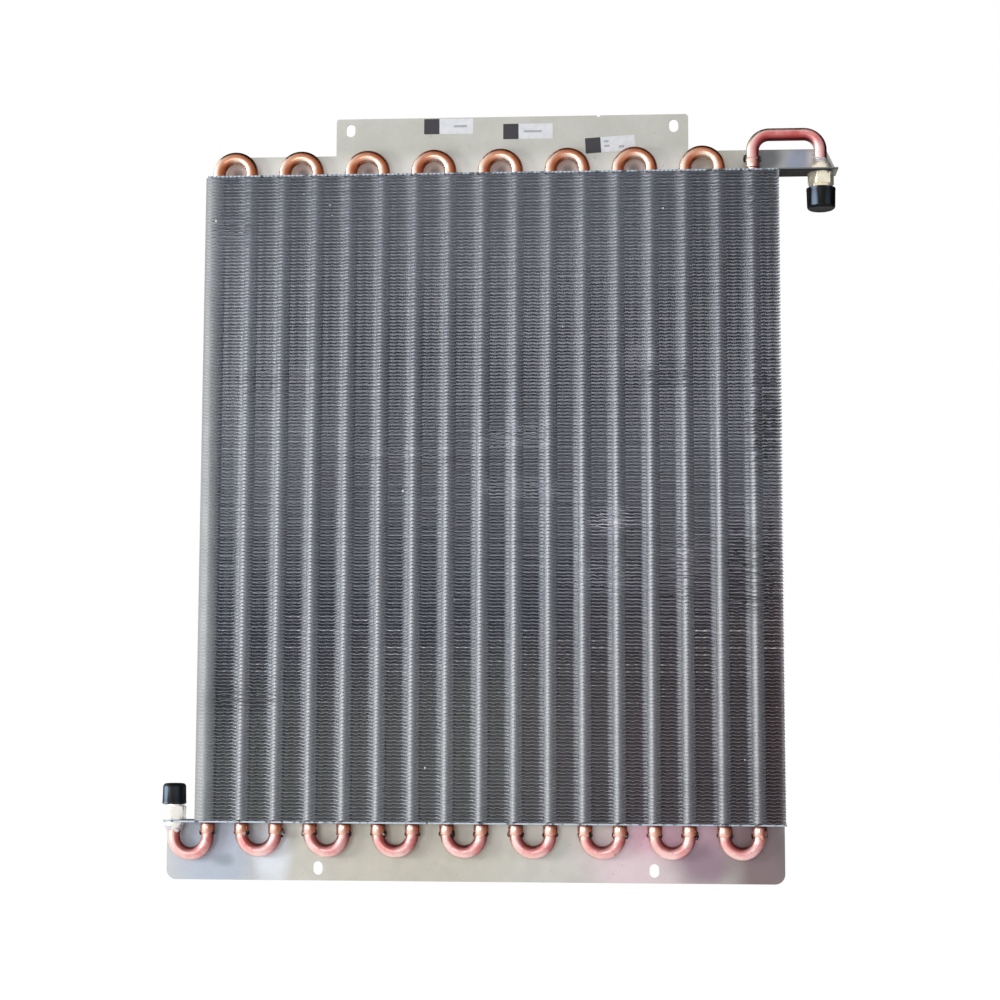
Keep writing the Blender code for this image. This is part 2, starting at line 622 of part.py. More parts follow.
def make_upper_plate(frame):
    """The upper end plate: level over the fins, with a low strip and a slotted tab behind."""
    left = FINS_LEFT_X
    right = GAS_UNION_X + UPPER_RIGHT_MARGIN
    plate = folded_sheet("upper_end_plate", left, right, UPPER_FACE_Z, 1, UPPER_TAB_HEIGHT, frame)
    low = UPPER_FACE_Z - 2 * PLATE_THICK
    relief = UPPER_FACE_Z + FOLD_RADIUS
    strip = UPPER_FACE_Z + UPPER_STRIP_HEIGHT
    tab = UPPER_FACE_Z + UPPER_TAB_HEIGHT
    strip_left = FIRST_TUBE_X + UPPER_STRIP_START
    tab_left, tab_right = UPPER_TAB_X - UPPER_TAB_WIDTH / 2, UPPER_TAB_X + UPPER_TAB_WIDTH / 2
    outline = rounded_outline((
        (left, low, 0),
        (right, low, 0),
        (right, strip - STRIP_CHAMFER_HEIGHT, 0),
        (right - STRIP_CHAMFER_WIDTH, strip, STRIP_CORNER_RADIUS),
        (tab_right, strip, 0),
        (tab_right, tab, UPPER_TAB_CORNER_RADIUS),
        (tab_left, tab, UPPER_TAB_CORNER_RADIUS),
        (tab_left, strip, 0),
        (strip_left, strip, STRIP_CORNER_RADIUS),
        (strip_left, relief, 0),
        (left, relief, 0),
    ))
    add_boolean(plate, plate_blank("upper_blank", outline, frame), "INTERSECT")
    posts = tube_posts() + [(GAS_UNION_X, UNION_NECK + FIT_GAP)]
    holes = post_cutter("upper_holes", posts, UPPER_FACE_Z - CUTTER_REACH, UPPER_FACE_Z + CUTTER_REACH, frame)
    add_boolean(plate, holes, "DIFFERENCE")
    slots = slot_cutter("upper_slots", UPPER_SLOT_SHIFT, UPPER_SLOT_SPACING, UPPER_SLOT_Z, frame)
    add_boolean(plate, slots, "DIFFERENCE")
    add_boolean(plate, nick_cutter("tab_nick", UPPER_TAB_X + NICK_OFFSET, tab, frame), "DIFFERENCE")


def make_labels(frame):
    """Blank stickers on the front of the upper tab."""
    half_width, half_height = LABEL_WIDTH / 2, LABEL_HEIGHT / 2
    outline = ((-half_width, -half_height), (half_width, -half_height),
               (half_width, half_height), (-half_width, half_height))
    mesh = extruded_mesh("label", outline, lambda x, z: (x, 0, z), Vector((0, -LABEL_THICK, 0)), PAPER)
    for name, across, down, tilt in LABELS:
        location = (UPPER_TAB_X + across, -PLATE_THICK - SEAT_GAP, UPPER_FACE_Z + UPPER_TAB_HEIGHT - down)
        place(name, mesh, frame, location, -tilt)


def main():
    """Builds every piece under one empty that holds the coil's frame."""
    clear_scene()
    frame = bpy.data.objects.new("coil_frame", None)
    bpy.context.scene.collection.objects.link(frame)
    make_fin_pack(frame)
    make_lower_plate(frame)
    make_upper_plate(frame)
    make_hairpins(frame)
    make_straight_tube(frame)
    make_return_bends(frame)
    make_gas_inlet(frame)
    make_liquid_outlet(frame)
    make_unions(frame)
    make_labels(frame)
    bpy.context.view_layer.update()


main()
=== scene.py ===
"""The looks of the finned condenser coil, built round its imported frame.

Lengths are in metres in the coil's own frame: X runs along the row of tubes, Y through the pack
and Z up, and the open front of the fins looks along -Y.
"""
import math

import bmesh
import bpy
import numpy as np
from mathutils import Matrix, Vector


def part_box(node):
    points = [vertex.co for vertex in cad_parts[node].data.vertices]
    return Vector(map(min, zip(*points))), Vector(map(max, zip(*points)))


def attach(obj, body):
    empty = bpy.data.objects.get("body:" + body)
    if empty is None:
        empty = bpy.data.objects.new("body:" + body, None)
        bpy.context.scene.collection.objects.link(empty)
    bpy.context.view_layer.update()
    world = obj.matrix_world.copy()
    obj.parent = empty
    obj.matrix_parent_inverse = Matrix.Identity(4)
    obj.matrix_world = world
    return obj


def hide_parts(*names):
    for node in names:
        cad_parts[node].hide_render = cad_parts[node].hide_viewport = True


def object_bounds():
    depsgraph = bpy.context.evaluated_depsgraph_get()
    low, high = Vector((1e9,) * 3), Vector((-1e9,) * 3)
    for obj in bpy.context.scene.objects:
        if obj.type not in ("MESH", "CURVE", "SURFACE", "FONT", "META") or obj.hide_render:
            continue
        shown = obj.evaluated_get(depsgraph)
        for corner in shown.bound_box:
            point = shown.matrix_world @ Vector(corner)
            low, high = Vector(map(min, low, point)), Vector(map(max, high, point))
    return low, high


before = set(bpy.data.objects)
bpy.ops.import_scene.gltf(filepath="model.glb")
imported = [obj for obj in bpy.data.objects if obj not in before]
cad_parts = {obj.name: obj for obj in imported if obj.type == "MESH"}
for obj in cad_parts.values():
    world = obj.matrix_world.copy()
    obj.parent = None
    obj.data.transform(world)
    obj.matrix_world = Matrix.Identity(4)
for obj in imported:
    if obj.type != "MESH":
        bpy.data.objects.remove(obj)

MM = 0.001
cad_low, cad_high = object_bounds()

# Sizes that the coil was built with
TUBE_COUNT = 17
TUBE_PITCH = 25.4 * MM
TUBE_RADIUS = 4.76 * MM
TUBE_WALL = 0.5 * MM
FIT_GAP = 0.3 * MM
HAIRPIN_RISE = 3.6 * MM
BELL_START = 0.5 * MM
BELL_TAPER = 1.0 * MM
BELL_DEPTH = 6.3 * MM
INSERT_DEPTH = 6.0 * MM
RETURN_DROP = 8.0 * MM
OUTLET_DROP = 10.8 * MM
INLET_RISE = 28.7 * MM
INLET_BEND_RADIUS = 12.5 * MM
RISER_BELL_START = 2.5 * MM
FIN_PITCH = 2.54 * MM
PLATE_THICK = 1.2 * MM
PLATE_DEPTH = 22.4 * MM
FOLD_RADIUS = 1.4 * MM
LOWER_FLANGE_HEIGHT = 43.3 * MM
LOWER_CORNER_RADIUS = 7.5 * MM
LOWER_WEB_CORNER_RADIUS = 7.0 * MM
UPPER_STRIP_HEIGHT = 20.0 * MM
UPPER_TAB_HEIGHT = 49.0 * MM
UPPER_TAB_WIDTH = 270.0 * MM
UPPER_TAB_CORNER_RADIUS = 2.5 * MM
UPPER_STRIP_START = 2.5 * MM
STRIP_CHAMFER_WIDTH = 7.0 * MM
STRIP_CHAMFER_HEIGHT = 15.0 * MM
STRIP_CORNER_RADIUS = 4.0 * MM
NICK_RADIUS = 1.3 * MM
NICK_OFFSET = 66.7 * MM
SLOT_WIDTH = 7.0 * MM
SLOT_LENGTH = 10.0 * MM
SLOT_EDGE = 9.0 * MM
LOWER_SLOT_SPACING = 249.0 * MM
UPPER_SLOT_SPACING = 248.0 * MM
UPPER_SLOT_SHIFT = 18.1 * MM
UNION_NECK = 5.9 * MM
UNION_SOCKET_DEPTH = 6.0 * MM
LIQUID_COLLAR = 4.6 * MM
GAS_CAP_BORE = 8.2 * MM
GAS_CAP_DEPTH = 13.9 * MM
LIQUID_CAP_BORE = 6.7 * MM
LIQUID_CAP_DEPTH = 12.4 * MM

# Places read from the frame
BELL_RADIUS = TUBE_RADIUS + FIT_GAP + TUBE_WALL
BELL_END = BELL_START + BELL_TAPER + BELL_DEPTH
TUBE_Y = -PLATE_DEPTH / 2
FIRST_TUBE_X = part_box("hairpin_tube_1")[0].x + BELL_RADIUS
LAST_TUBE_X = FIRST_TUBE_X + (TUBE_COUNT - 1) * TUBE_PITCH
GAS_UNION_X = LAST_TUBE_X + 2 * TUBE_PITCH
LIQUID_UNION_X = FIRST_TUBE_X - TUBE_PITCH
LOWER_PLATE_LOW, LOWER_PLATE_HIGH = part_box("lower_end_plate")
UPPER_PLATE_LOW, UPPER_PLATE_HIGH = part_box("upper_end_plate")
LOWER_FACE_Z = LOWER_PLATE_HIGH.z - PLATE_THICK
UPPER_FACE_Z = UPPER_PLATE_LOW.z + PLATE_THICK
FINS_LOW, FINS_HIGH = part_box("fin_pack")

# Fineness of round shapes
TUBE_SIDES = 32
TURN_STEPS = 14
CORNER_STEPS = 8
UNION_SIDES = 48
SHOULDER_STEPS = 4
NICK_STEPS = 24
SMOOTH_ANGLE = math.radians(35)
FIN_SMOOTH_ANGLE = math.radians(50)
EDGE_BEVEL = 0.12 * MM

# The fins' form
FIN_THICK = 0.14 * MM
RIPPLE_LENGTH = TUBE_PITCH / 4
RIPPLE_RISE = 0.42 * MM
RIPPLE_SAMPLES = 2
FIN_ROWS = (0.0, 0.085, 0.336, 0.664, 1.0)      # share of the depth from the front edge
ROW_RIPPLE = (1.0, 0.9, 0.25, 0.25, 1.0)
ROW_KINK = (0.0, 0.0, 0.0, 1.0, 0.0)
ROW_BEND = (1.0, 0.25, 0.0, 0.0, 0.0)
TUBE_ROW = 2
KINK_RISE = 2.46 * MM
FIN_SCATTER = 0.05 * MM
DRIFT_RISE = 0.045 * MM
DRIFT_RATES = (21.0, 47.0, 83.0, 190.0)
WAVER_RATES = (250, 480, 900)
FINS_PER_PIECE = 48
FIN_CEILING = UPPER_PLATE_LOW.z - 0.2 * MM
SLEEVE_RADIUS = 5.1 * MM
SLEEVE_WALL = 0.25 * MM
SLEEVE_GAP = 0.1 * MM
# The collars' flared skirt on the left: places across and back from the tube's axis
COLLAR_SKIRT = ((-8.9 * MM, 1.8 * MM), (-8.2 * MM, 0.9 * MM), (-6.8 * MM, 0.2 * MM), (-4.8 * MM, -0.3 * MM))
# The pack's closed left end: places across and back from the fins' front left corner
END_STRIP = ((-1.8 * MM, 2.0 * MM), (-1.4 * MM, 1.0 * MM), (3.6 * MM, 1.2 * MM), (6.6 * MM, 2.2 * MM),
             (11.0 * MM, 6.5 * MM))

# The tables of places are in millimetres.
# Bent places in the fins' front: x, z, half width, half height, push
DENTS = (
    (26.3, 320.5, 34.0, 12.0, -1.2),
    (24.0, 281.0, 40.0, 10.0, -0.9),
    (92.0, 255.0, 22.0, 12.0, -1.3),
    (84.0, 215.0, 34.0, 19.0, -0.9),
    (133.9, 364.8, 24.0, 10.0, 1.1),
    (-55.8, 305.9, 50.0, 9.0, -0.8),
    (-158.0, 361.0, 30.0, 15.0, -0.9),
    (-178.6, 128.0, 24.0, 12.0, 1.0),
    (145.0, 225.0, 12.0, 28.0, 1.1),
    (206.0, 330.0, 14.0, 50.0, 1.4),
    (198.0, 220.0, 22.0, 36.0, -1.5),
    (205.0, 497.0, 14.0, 10.0, 0.9),
    (-196.0, 478.0, 20.0, 12.0, 0.9),
)
# Scuffed places, paler than the rest: x, z, half width, half height, strength
SCUFFS = (
    (26.3, 318.0, 40.0, 15.0, 0.65),
    (30.0, 281.0, 50.0, 12.0, 0.60),
    (92.0, 255.0, 26.0, 15.0, 1.0),
    (88.0, 214.0, 40.0, 24.0, 0.60),
    (118.0, 375.0, 18.0, 16.0, 0.7),
    (-55.8, 305.9, 60.0, 10.0, 0.35),
    (146.0, 225.0, 12.0, 34.0, 0.5),
    (-190.0, 440.0, 22.0, 60.0, 0.35),
)
# Places where the painted highlight lines run in zigzags: x, z, half width, half height
ZIGZAGS = (
    (18.8, 319.8, 50.0, 20.0),
    (45.0, 270.0, 46.0, 44.0),
    (98.0, 242.0, 50.0, 38.0),
    (150.0, 226.0, 26.0, 66.0),
)
ZIGZAG_LENGTH = 4.4 * MM
ZIGZAG_REACH = 1.6 * MM
# The painted highlight line moves from its lower to its upper place between two heights
LINE_HEIGHTS = (240 * MM, 430 * MM)
LINE_PLACES = (-2.8 * MM, -5.0 * MM)
# Where the painted highlight band beside each tube lies, across from its axis
BAND_PLACE = -6.4 * MM
# Places where the fins lean back, with painted shade there: x, z, half width, half height, strength
LEAN_SHADES = (
    (-158.0, 361.0, 40.0, 18.0, 0.35),
    (-178.6, 128.0, 34.0, 16.0, 0.35),
    (198.0, 216.0, 34.0, 46.0, 0.5),
    (208.0, 330.0, 18.0, 70.0, 0.5),
    (180.0, 60.0, 70.0, 26.0, 0.25),
    (-60.0, 300.0, 90.0, 8.0, 0.3),
)
# Flecks on the fins' front edges: x, z, radius
SPECKS = (
    (-205.2, 485.8, 1.1), (-60.8, 279.0, 0.8), (-42.9, 74.9, 0.9), (-138.1, 505.8, 0.7),
    (-118.1, 497.0, 0.7), (-116.4, 489.0, 0.5), (-4.1, 463.2, 0.6), (133.1, 491.2, 0.6),
    (190.1, 81.9, 0.6), (-183.0, 402.0, 0.5), (58.0, 402.0, 0.5), (-22.0, 198.0, 0.5),
)

# Painted light and shade across the fins, and painted reflections and shade on the plates: x, z, half width,
# half height, strength, tone
FIN_LIGHT_AND_SHADE = (
    (-210, 420, 120, 300, 0.7, (224, 228, 236)),
    (20, 500, 260, 160, 0.8, (228, 230, 238)),
    (240, 460, 120, 260, 0.7, (194, 197, 204)),
    (40, 100, 200, 100, 0.8, (222, 222, 222)),
    (-120, 50, 240, 160, 0.7, (212, 214, 212)),
    (200, 60, 220, 260, 0.8, (196, 184, 188)),
    (230, 100, 50, 240, 0.7, (168, 148, 152)),
)
PLATE_REFLECTIONS_AND_SHADE = (
    (0, 36, 400, 20, 0.9, (224, 222, 214)),
    (-200, 10, 60, 70, 0.95, (178, 188, 203)),
    (-155, 12, 14, 50, 0.9, (228, 235, 244)),
    (-193, 4, 13, 7, 0.55, (124, 134, 146)),
    (-60, 10, 110, 80, 0.8, (196, 192, 178)),
    (112, 10, 55, 50, 0.95, (230, 212, 218)),
    (132, 26, 32, 26, 0.8, (232, 184, 204)),
    (166, 28, 40, 24, 0.85, (206, 168, 186)),
    (200, 28, 30, 16, 0.8, (186, 146, 156)),
    (160, 6, 30, 22, 0.85, (150, 122, 140)),
    (205, 8, 42, 60, 0.95, (134, 114, 118)),
    (222, 12, 10, 50, 0.6, (120, 110, 112)),
    (213, 532, 16, 16, 0.85, (106, 110, 118)),
    (233, 530, 14, 20, 0.9, (158, 168, 190)),
    (250, 532, 12, 20, 0.9, (212, 216, 226)),
    (170, 536, 30, 20, 0.8, (206, 203, 188)),
)

# The widened tube ends and the braze at them; a bead is ring radius, half width and half height
LIP_LENGTH = 0.3 * MM
LIP_ROUND = 0.12 * MM
JOINT_BEAD = (5.05 * MM, 0.42 * MM, 0.8 * MM)
RISER_BEAD = (5.1 * MM, 0.5 * MM, 0.9 * MM)
RISER_BLOBS = ((0.0, 2.2), (math.pi, 3.0))
# Lumps beside a joint: angles from +X, their scatter, and the sizes and the width of a lump
BLOB_SIDES = (-0.4, 0.1, math.pi + 0.2)
BLOB_SCATTER = 0.3
BLOB_SIZES = (1.0, 2.6)
BLOB_WIDTH = 0.30

# The unions: collar, hexagon and stub as height from the plate and radius, in millimetres, and
# the hexagons as distance across flats and turn
GAS_HEX = (17.6 * MM, math.radians(21.5) + math.pi / 6)
GAS_OUTLINE = (
    ((8.3, 5.5), (5.6, 7.0), (2.9, 8.2), (0.3, 8.3), (0.3, 5.9), (-1.5, 5.9)),
    ((-1.5, 9.2), (-2.1, 10.0), (-10.1, 10.0), (-10.7, 9.2)),
    ((-10.7, 8.3), (-11.1, 8.3), (-11.3, 8.7), (-12.8, 8.7), (-13.1, 8.4), (-13.1, 7.9), (-24.1, 7.9),
     (-26.7, 5.3), (-26.7, 3.9), (2.3, 3.9), (2.3, 5.06), (8.3, 5.06)),
)
LIQUID_HEX = (15.9 * MM, math.radians(5.6) + math.pi / 6)
LIQUID_OUTLINE = (
    ((4.9, 5.5), (3.4, 6.5), (1.8, 7.0), (0.3, 7.0), (0.3, 5.9), (-1.5, 5.9)),
    ((-1.5, 8.3), (-2.1, 9.0), (-10.9, 9.0), (-11.5, 8.3)),
    ((-11.5, 7.6), (-12.7, 7.6), (-12.7, 6.4), (-22.2, 6.4), (-24.8, 4.4), (-24.8, 3.0), (-1.1, 3.0),
     (-1.1, 5.06), (4.9, 5.06)),
)
# Braze over the collars: height from the plate, ring radius, half width, half height, in millimetres
GAS_BEADS = ((8.2, 5.0, 0.8, 1.8), (6.0, 5.8, 1.2, 2.4), (3.2, 7.0, 1.2, 2.4))
LIQUID_BEADS = ((5.4, 5.2, 0.9, 1.8), (3.0, 5.9, 1.1, 2.0))

# The caps: narrowing and rounding at the closed end, and the small flat at its centre
CAP_TAPER = 0.4 * MM
CAP_ROUNDING = 2.6 * MM
CAP_CENTRE = 0.4 * MM

# How far a cutter reaches beyond the sheet
CUT_REACH = 3 * MM

# The labels: node, name, tilt, and the bars on each as left, right, low and high in millimetres
LABELS = (
    ("label_left", "sticker_left", 0.0, ((4.0, 14.0, -0.9, 0.9),)),
    ("label_middle", "sticker_middle", 0.0, ((-3.0, 10.5, -1.0, 0.8),)),
    ("label_right", "sticker_right", math.radians(3.5),
     ((-4.5, -1.0, 1.6, 3.2), (-4.5, -0.5, -2.0, -0.4), (6.5, 10.5, -3.4, -1.6))),
)
LABEL_SQUARE = (-19.0, -7.2, -6.0, 6.0)
LABEL_WIDTH = 38.0 * MM
LABEL_HEIGHT = 12.0 * MM
LABEL_THICK = 0.15 * MM
LABEL_CORNER = 0.5 * MM
LABEL_GAP = 0.02 * MM
SPECK_DEPTH = 0.32 * MM

# The lamps: name, place, width, height and power; all are aimed at one point
LAMP_TARGET = Vector((0.0, 0.0, 0.28))
LAMPS = (
    ("key", (-1.2, -1.15, 0.22), 0.6, 0.36, 9),
    ("side", (-1.5, -0.12, 0.75), 0.5, 0.8, 9),
    ("front", (-0.25, -1.65, 0.22), 0.6, 0.36, 3),
)
WORLD_LIGHT = 0.50
FLOOR_REACH = 60.0
FLOOR_DROP = 0.5 * MM
FLOOR_GLOW = 1.08
FLOOR_GLOW_SHARE = 0.9

# The photograph's camera
CAMERA_PLACE = Vector((0.1029, -1.4323, 0.1285))
CAMERA_YAW = 0.0647
CAMERA_PITCH = 0.1012
CAMERA_ROLL = -0.003
CAMERA_LENS = 69.0


def srgb(red, green, blue):
    """A linear colour from screen values of 0 to 255."""
    def linear(value):
        share = value / 255
        return share / 12.92 if share <= 0.04045 else ((share + 0.055) / 1.055) ** 2.4
    return (linear(red), linear(green), linear(blue), 1.0)


def join(tree, socket, value):
    """Links an output to an input, or sets the input's own value."""
    if isinstance(value, bpy.types.NodeSocket):
        tree.links.new(value, socket)
    else:
        socket.default_value = value


def add_node(tree, kind, values):
    """A new node with outputs or values at its inputs."""
    node = tree.nodes.new(kind)
    for name, value in values.items():
        join(tree, node.inputs[name], value)
    return node


class Paint:
    """One procedural material under construction; its methods return node outputs."""

    def __init__(self, name, metallic, roughness):
        self.material = bpy.data.materials.new(name)
        self.material.use_nodes = True
        self.tree = self.material.node_tree
        self.shader = self.tree.nodes["Principled BSDF"]
        places = self.tree.nodes.new("ShaderNodeTexCoord")
        self.point = places.outputs["Object"]
        self.normal = places.outputs["Normal"]
        self.colour = None
        self.shader.inputs["Metallic"].default_value = metallic
        self.feed("Roughness", roughness)

    def feed(self, name, value):
        """Gives the shader's named input an output or a value."""
        join(self.tree, self.shader.inputs[name], value)

    def noise(self, scale, detail=3.0, roughness=0.5, stretch=None):
        """Smooth noise from 0 to 1; scale is in cycles per metre."""
        point = self.vector("MULTIPLY", self.point, stretch) if stretch else self.point
        values = {"Scale": scale, "Detail": detail, "Roughness": roughness, "Vector": point}
        return add_node(self.tree, "ShaderNodeTexNoise", values).outputs["Fac"]

    def vector(self, operation, first, second=(0.0, 0.0, 0.0)):
        """One step of vector mathematics."""
        node = add_node(self.tree, "ShaderNodeVectorMath", {0: first, 1: second})
        node.operation = operation
        return node.outputs["Value" if operation in ("LENGTH", "DOT_PRODUCT") else "Vector"]

    def number(self, operation, first, second=0.0):
        """One step of arithmetic."""
        node = add_node(self.tree, "ShaderNodeMath", {0: first, 1: second})
        node.operation = operation
        return node.outputs[0]

    def times(self, *factors):
        """The product of some values."""
        product = factors[0]
        for factor in factors[1:]:
            product = self.number("MULTIPLY", product, factor)
        return product

    def away(self, value, place):
        """The distance of a value from a place."""
        return self.number("ABSOLUTE", self.number("SUBTRACT", value, place))

    def spread(self, value, low, high, to_low=0.0, to_high=1.0, smooth=True):
        """Maps a range of values to another, clamped at its ends."""
        values = {"Value": value, "From Min": low, "From Max": high, "To Min": to_low, "To Max": to_high}
        node = add_node(self.tree, "ShaderNodeMapRange", values)
        node.interpolation_type = "SMOOTHSTEP" if smooth else "LINEAR"
        return node.outputs["Result"]

    def fade(self, value, full, none, share=1.0):
        """A share up to one value, which falls to 0 at another."""
        return self.spread(value, full, none, share, 0.0)

    def axis(self, name, point=None):
        """One coordinate of a point."""
        return add_node(self.tree, "ShaderNodeSeparateXYZ", {0: point or self.point}).outputs[name]

    def blend(self, share, first, second):
        """Mixes two colours by a share from 0 to 1."""
        node = self.tree.nodes.new("ShaderNodeMix")
        node.data_type = "RGBA"
        for index, value in ((0, share), (6, first), (7, second)):
            join(self.tree, node.inputs[index], value)
        return node.outputs[2]

    def warped(self, amount, scale):
        """The point pushed about by noise, so that patches get uneven edges."""
        noise = add_node(self.tree, "ShaderNodeTexNoise", {"Scale": scale, "Vector": self.point})
        centred = self.vector("SUBTRACT", noise.outputs["Color"], (0.5, 0.5, 0.5))
        return self.vector("ADD", self.point, self.vector("MULTIPLY", centred, (amount, amount, amount)))

    def patch(self, point, middle, reach):
        """A soft patch: 1 at its middle and 0 beyond its reach along each axis."""
        offset = self.vector("DIVIDE", self.vector("SUBTRACT", point, middle), reach)
        return self.fade(self.vector("LENGTH", offset), 0.25, 1.0)

    def spot(self, point, x, z, half_width, half_height):
        """A soft patch through the whole depth, its place and reach in millimetres."""
        return self.patch(point, (x * MM, 0.0, z * MM), (half_width * MM, 1.0, half_height * MM))

    def facing(self, direction, low, high):
        """The share, from 0 to 1, in which the surface faces a direction of the coil's own frame."""
        towards = self.vector("DOT_PRODUCT", self.normal, tuple(Vector(direction).normalized()))
        return self.spread(towards, low, high)

    def ground(self, value, low, high, first, second):
        """Starts the colour with two tones that pass into each other over a range of a value."""
        self.colour = self.blend(self.spread(value, low, high), srgb(*first), srgb(*second))

    def tint(self, tone, *shares):
        """Lays a tone over the colour, by the product of some shares."""
        self.colour = self.blend(self.times(*shares), self.colour, srgb(*tone))

    def lay_spots(self, point, spots, *shares):
        """Lays tones over the colour at spots, each in its own strength."""
        for *place, strength, tone in spots:
            self.tint(tone, self.spot(point, *place), strength, *shares)

    def bump(self, height, distance, strength):
        """Fine relief from a height."""
        values = {"Strength": strength, "Distance": distance, "Height": height}
        self.feed("Normal", add_node(self.tree, "ShaderNodeBump", values).outputs["Normal"])

    def finished(self):
        """The material, in the colour that was laid."""
        self.feed("Base Color", self.colour)
        return self.material


def pitch_offset(paint, pitch=TUBE_PITCH):
    """The distance along X from the middle of the nearest pitch, which by default is a tube's axis."""
    along = paint.number("SUBTRACT", paint.axis("X"), FIRST_TUBE_X - TUBE_PITCH / 2)
    return paint.number("SUBTRACT", paint.number("FLOORED_MODULO", along, pitch), pitch / 2)


def from_highlight_line(paint):
    """The distance along X from the painted highlight line beside the nearest tube, wavy in the zigzag
    places.
    """
    height = paint.axis("Z")
    wavy = 0.0
    for x, z, half_width, half_height in ZIGZAGS:
        reach = (half_width * MM, 1.0, half_height * MM)
        wavy = paint.number("MAXIMUM", paint.patch(paint.point, (x * MM, TUBE_Y, z * MM), reach), wavy)
    ahead = paint.fade(paint.axis("Y"), TUBE_Y - 2 * MM, TUBE_Y + 2 * MM)
    wave = paint.number("SINE", paint.times(height, math.tau / ZIGZAG_LENGTH))
    shift = paint.times(wave, paint.times(wavy, ahead), ZIGZAG_REACH)
    middle = paint.number("ADD", paint.spread(height, *LINE_HEIGHTS, *LINE_PLACES), shift)
    return paint.away(pitch_offset(paint), middle)


def fin_material():
    """Thin aluminium sheet with dull edges, a painted highlight beside each tube, scuffed places, and painted
    light and shade across it.
    """
    paint = Paint("fin_sheet", 0.5, 0.45)
    point = paint.warped(30 * MM, 18)
    paint.ground(paint.noise(22, 4.0, 0.6), 0.35, 0.68, (180, 183, 195), (194, 197, 208))
    # Painted light and shade across the fins: paler over the left, the top and the bottom, darker and browner
    # at the lower right.
    paint.lay_spots(point, FIN_LIGHT_AND_SHADE)
    left_end = paint.fade(paint.axis("X"), FINS_LOW.x + 3 * MM, FINS_LOW.x + 11 * MM)
    paint.tint((172, 174, 175), left_end)
    # Painted highlight: a band left of each tube and a line beside it, the band weaker higher up.
    highlight_band = paint.fade(paint.away(pitch_offset(paint), BAND_PLACE), 1.0 * MM, 2.9 * MM)
    highlight_band = paint.times(highlight_band, paint.spread(paint.axis("Z"), 300 * MM, 440 * MM, 0.7, 0.6))
    paint.tint((244, 246, 250), highlight_band)
    line = paint.fade(from_highlight_line(paint), 0.6 * MM, 2.4 * MM, 0.9)
    paint.tint((248, 249, 251), line)
    bright = paint.number("MAXIMUM", paint.number("MAXIMUM", highlight_band, line), left_end)

    depth = paint.axis("Y")
    streaks = paint.noise(160, 3.0, 0.65, (1.0, 0.4, 5.0))
    ahead = paint.fade(depth, FINS_LOW.y + 7 * MM, FINS_LOW.y + 15 * MM)
    for *place, strength in SCUFFS:
        worn = paint.spread(streaks, 0.36, 0.56, 0.3 * strength, strength)
        scuff = paint.times(paint.spot(point, *place), worn, ahead)
        bright = paint.number("MAXIMUM", bright, scuff)
        paint.tint((250, 248, 255), scuff)
    # Painted shade where the fins lean back.
    dark = 0.0
    for *place, strength in LEAN_SHADES:
        dark = paint.number("MAXIMUM", paint.times(paint.spot(point, *place), strength), dark)
    paint.tint((128, 128, 134), dark, ahead)

    # Duller, darker front edges away from the painted highlights, with a painted glint along the highlight
    # line.
    front = paint.fade(depth, FINS_LOW.y + 0.2 * MM, FINS_LOW.y + 3.0 * MM)
    paint.tint((134, 136, 143), front, paint.number("SUBTRACT", 1.0, bright), 0.7)
    paint.tint((232, 235, 240), front, line, 0.3)
    paint.tint((206, 202, 196), paint.spread(paint.noise(900, 2.0, 0.6), 0.60, 0.72, 0.0, 0.3))
    paint.feed("Metallic", paint.spread(bright, 0.1, 0.9, 0.5, 1.0, smooth=False))
    paint.feed("Roughness", paint.spread(bright, 0.1, 0.9, 0.45, 0.62, smooth=False))
    return paint.finished()


def sleeve_material():
    """The collars round the tubes: soft bright aluminium with a painted highlight line down the left side and
    painted shade just right of the axis.
    """
    paint = Paint("collar_sheet", 0.3, 0.5)
    paint.ground(paint.noise(60, 3.0, 0.6), 0.35, 0.65, (208, 212, 220), (220, 224, 230))
    # Painted highlight line down the collar's left side, a little paler low down, and painted shade just
    # right of the tube's axis.
    low_down = paint.fade(paint.axis("Z"), 90 * MM, 330 * MM)
    shine = paint.blend(low_down, srgb(226, 228, 230), srgb(214, 217, 217))
    paint.colour = paint.blend(paint.fade(from_highlight_line(paint), 0.8 * MM, 2.0 * MM), paint.colour, shine)
    far_shade = paint.fade(paint.away(pitch_offset(paint), 1.3 * MM), 0.8 * MM, 3.4 * MM)
    paint.tint((120, 122, 128), far_shade, 0.8)
    return paint.finished()


def end_material():
    """The fins' left ends, bent over into one closed edge that is greyer at its outside."""
    paint = Paint("end_sheet", 0.3, 0.55)
    soft = paint.noise(90, 4.0, 0.6, (1.0, 1.0, 0.4))
    paint.ground(soft, 0.35, 0.65, (172, 176, 178), (186, 190, 192))
    outside = paint.fade(paint.axis("X"), FINS_LOW.x - 0.4 * MM, FINS_LOW.x + 1.2 * MM, 0.8)
    paint.tint((166, 163, 162), outside)
    paint.tint((160, 162, 168), paint.spread(paint.axis("Z"), 0.2, 0.5, 0.0, 0.5))
    return paint.finished()


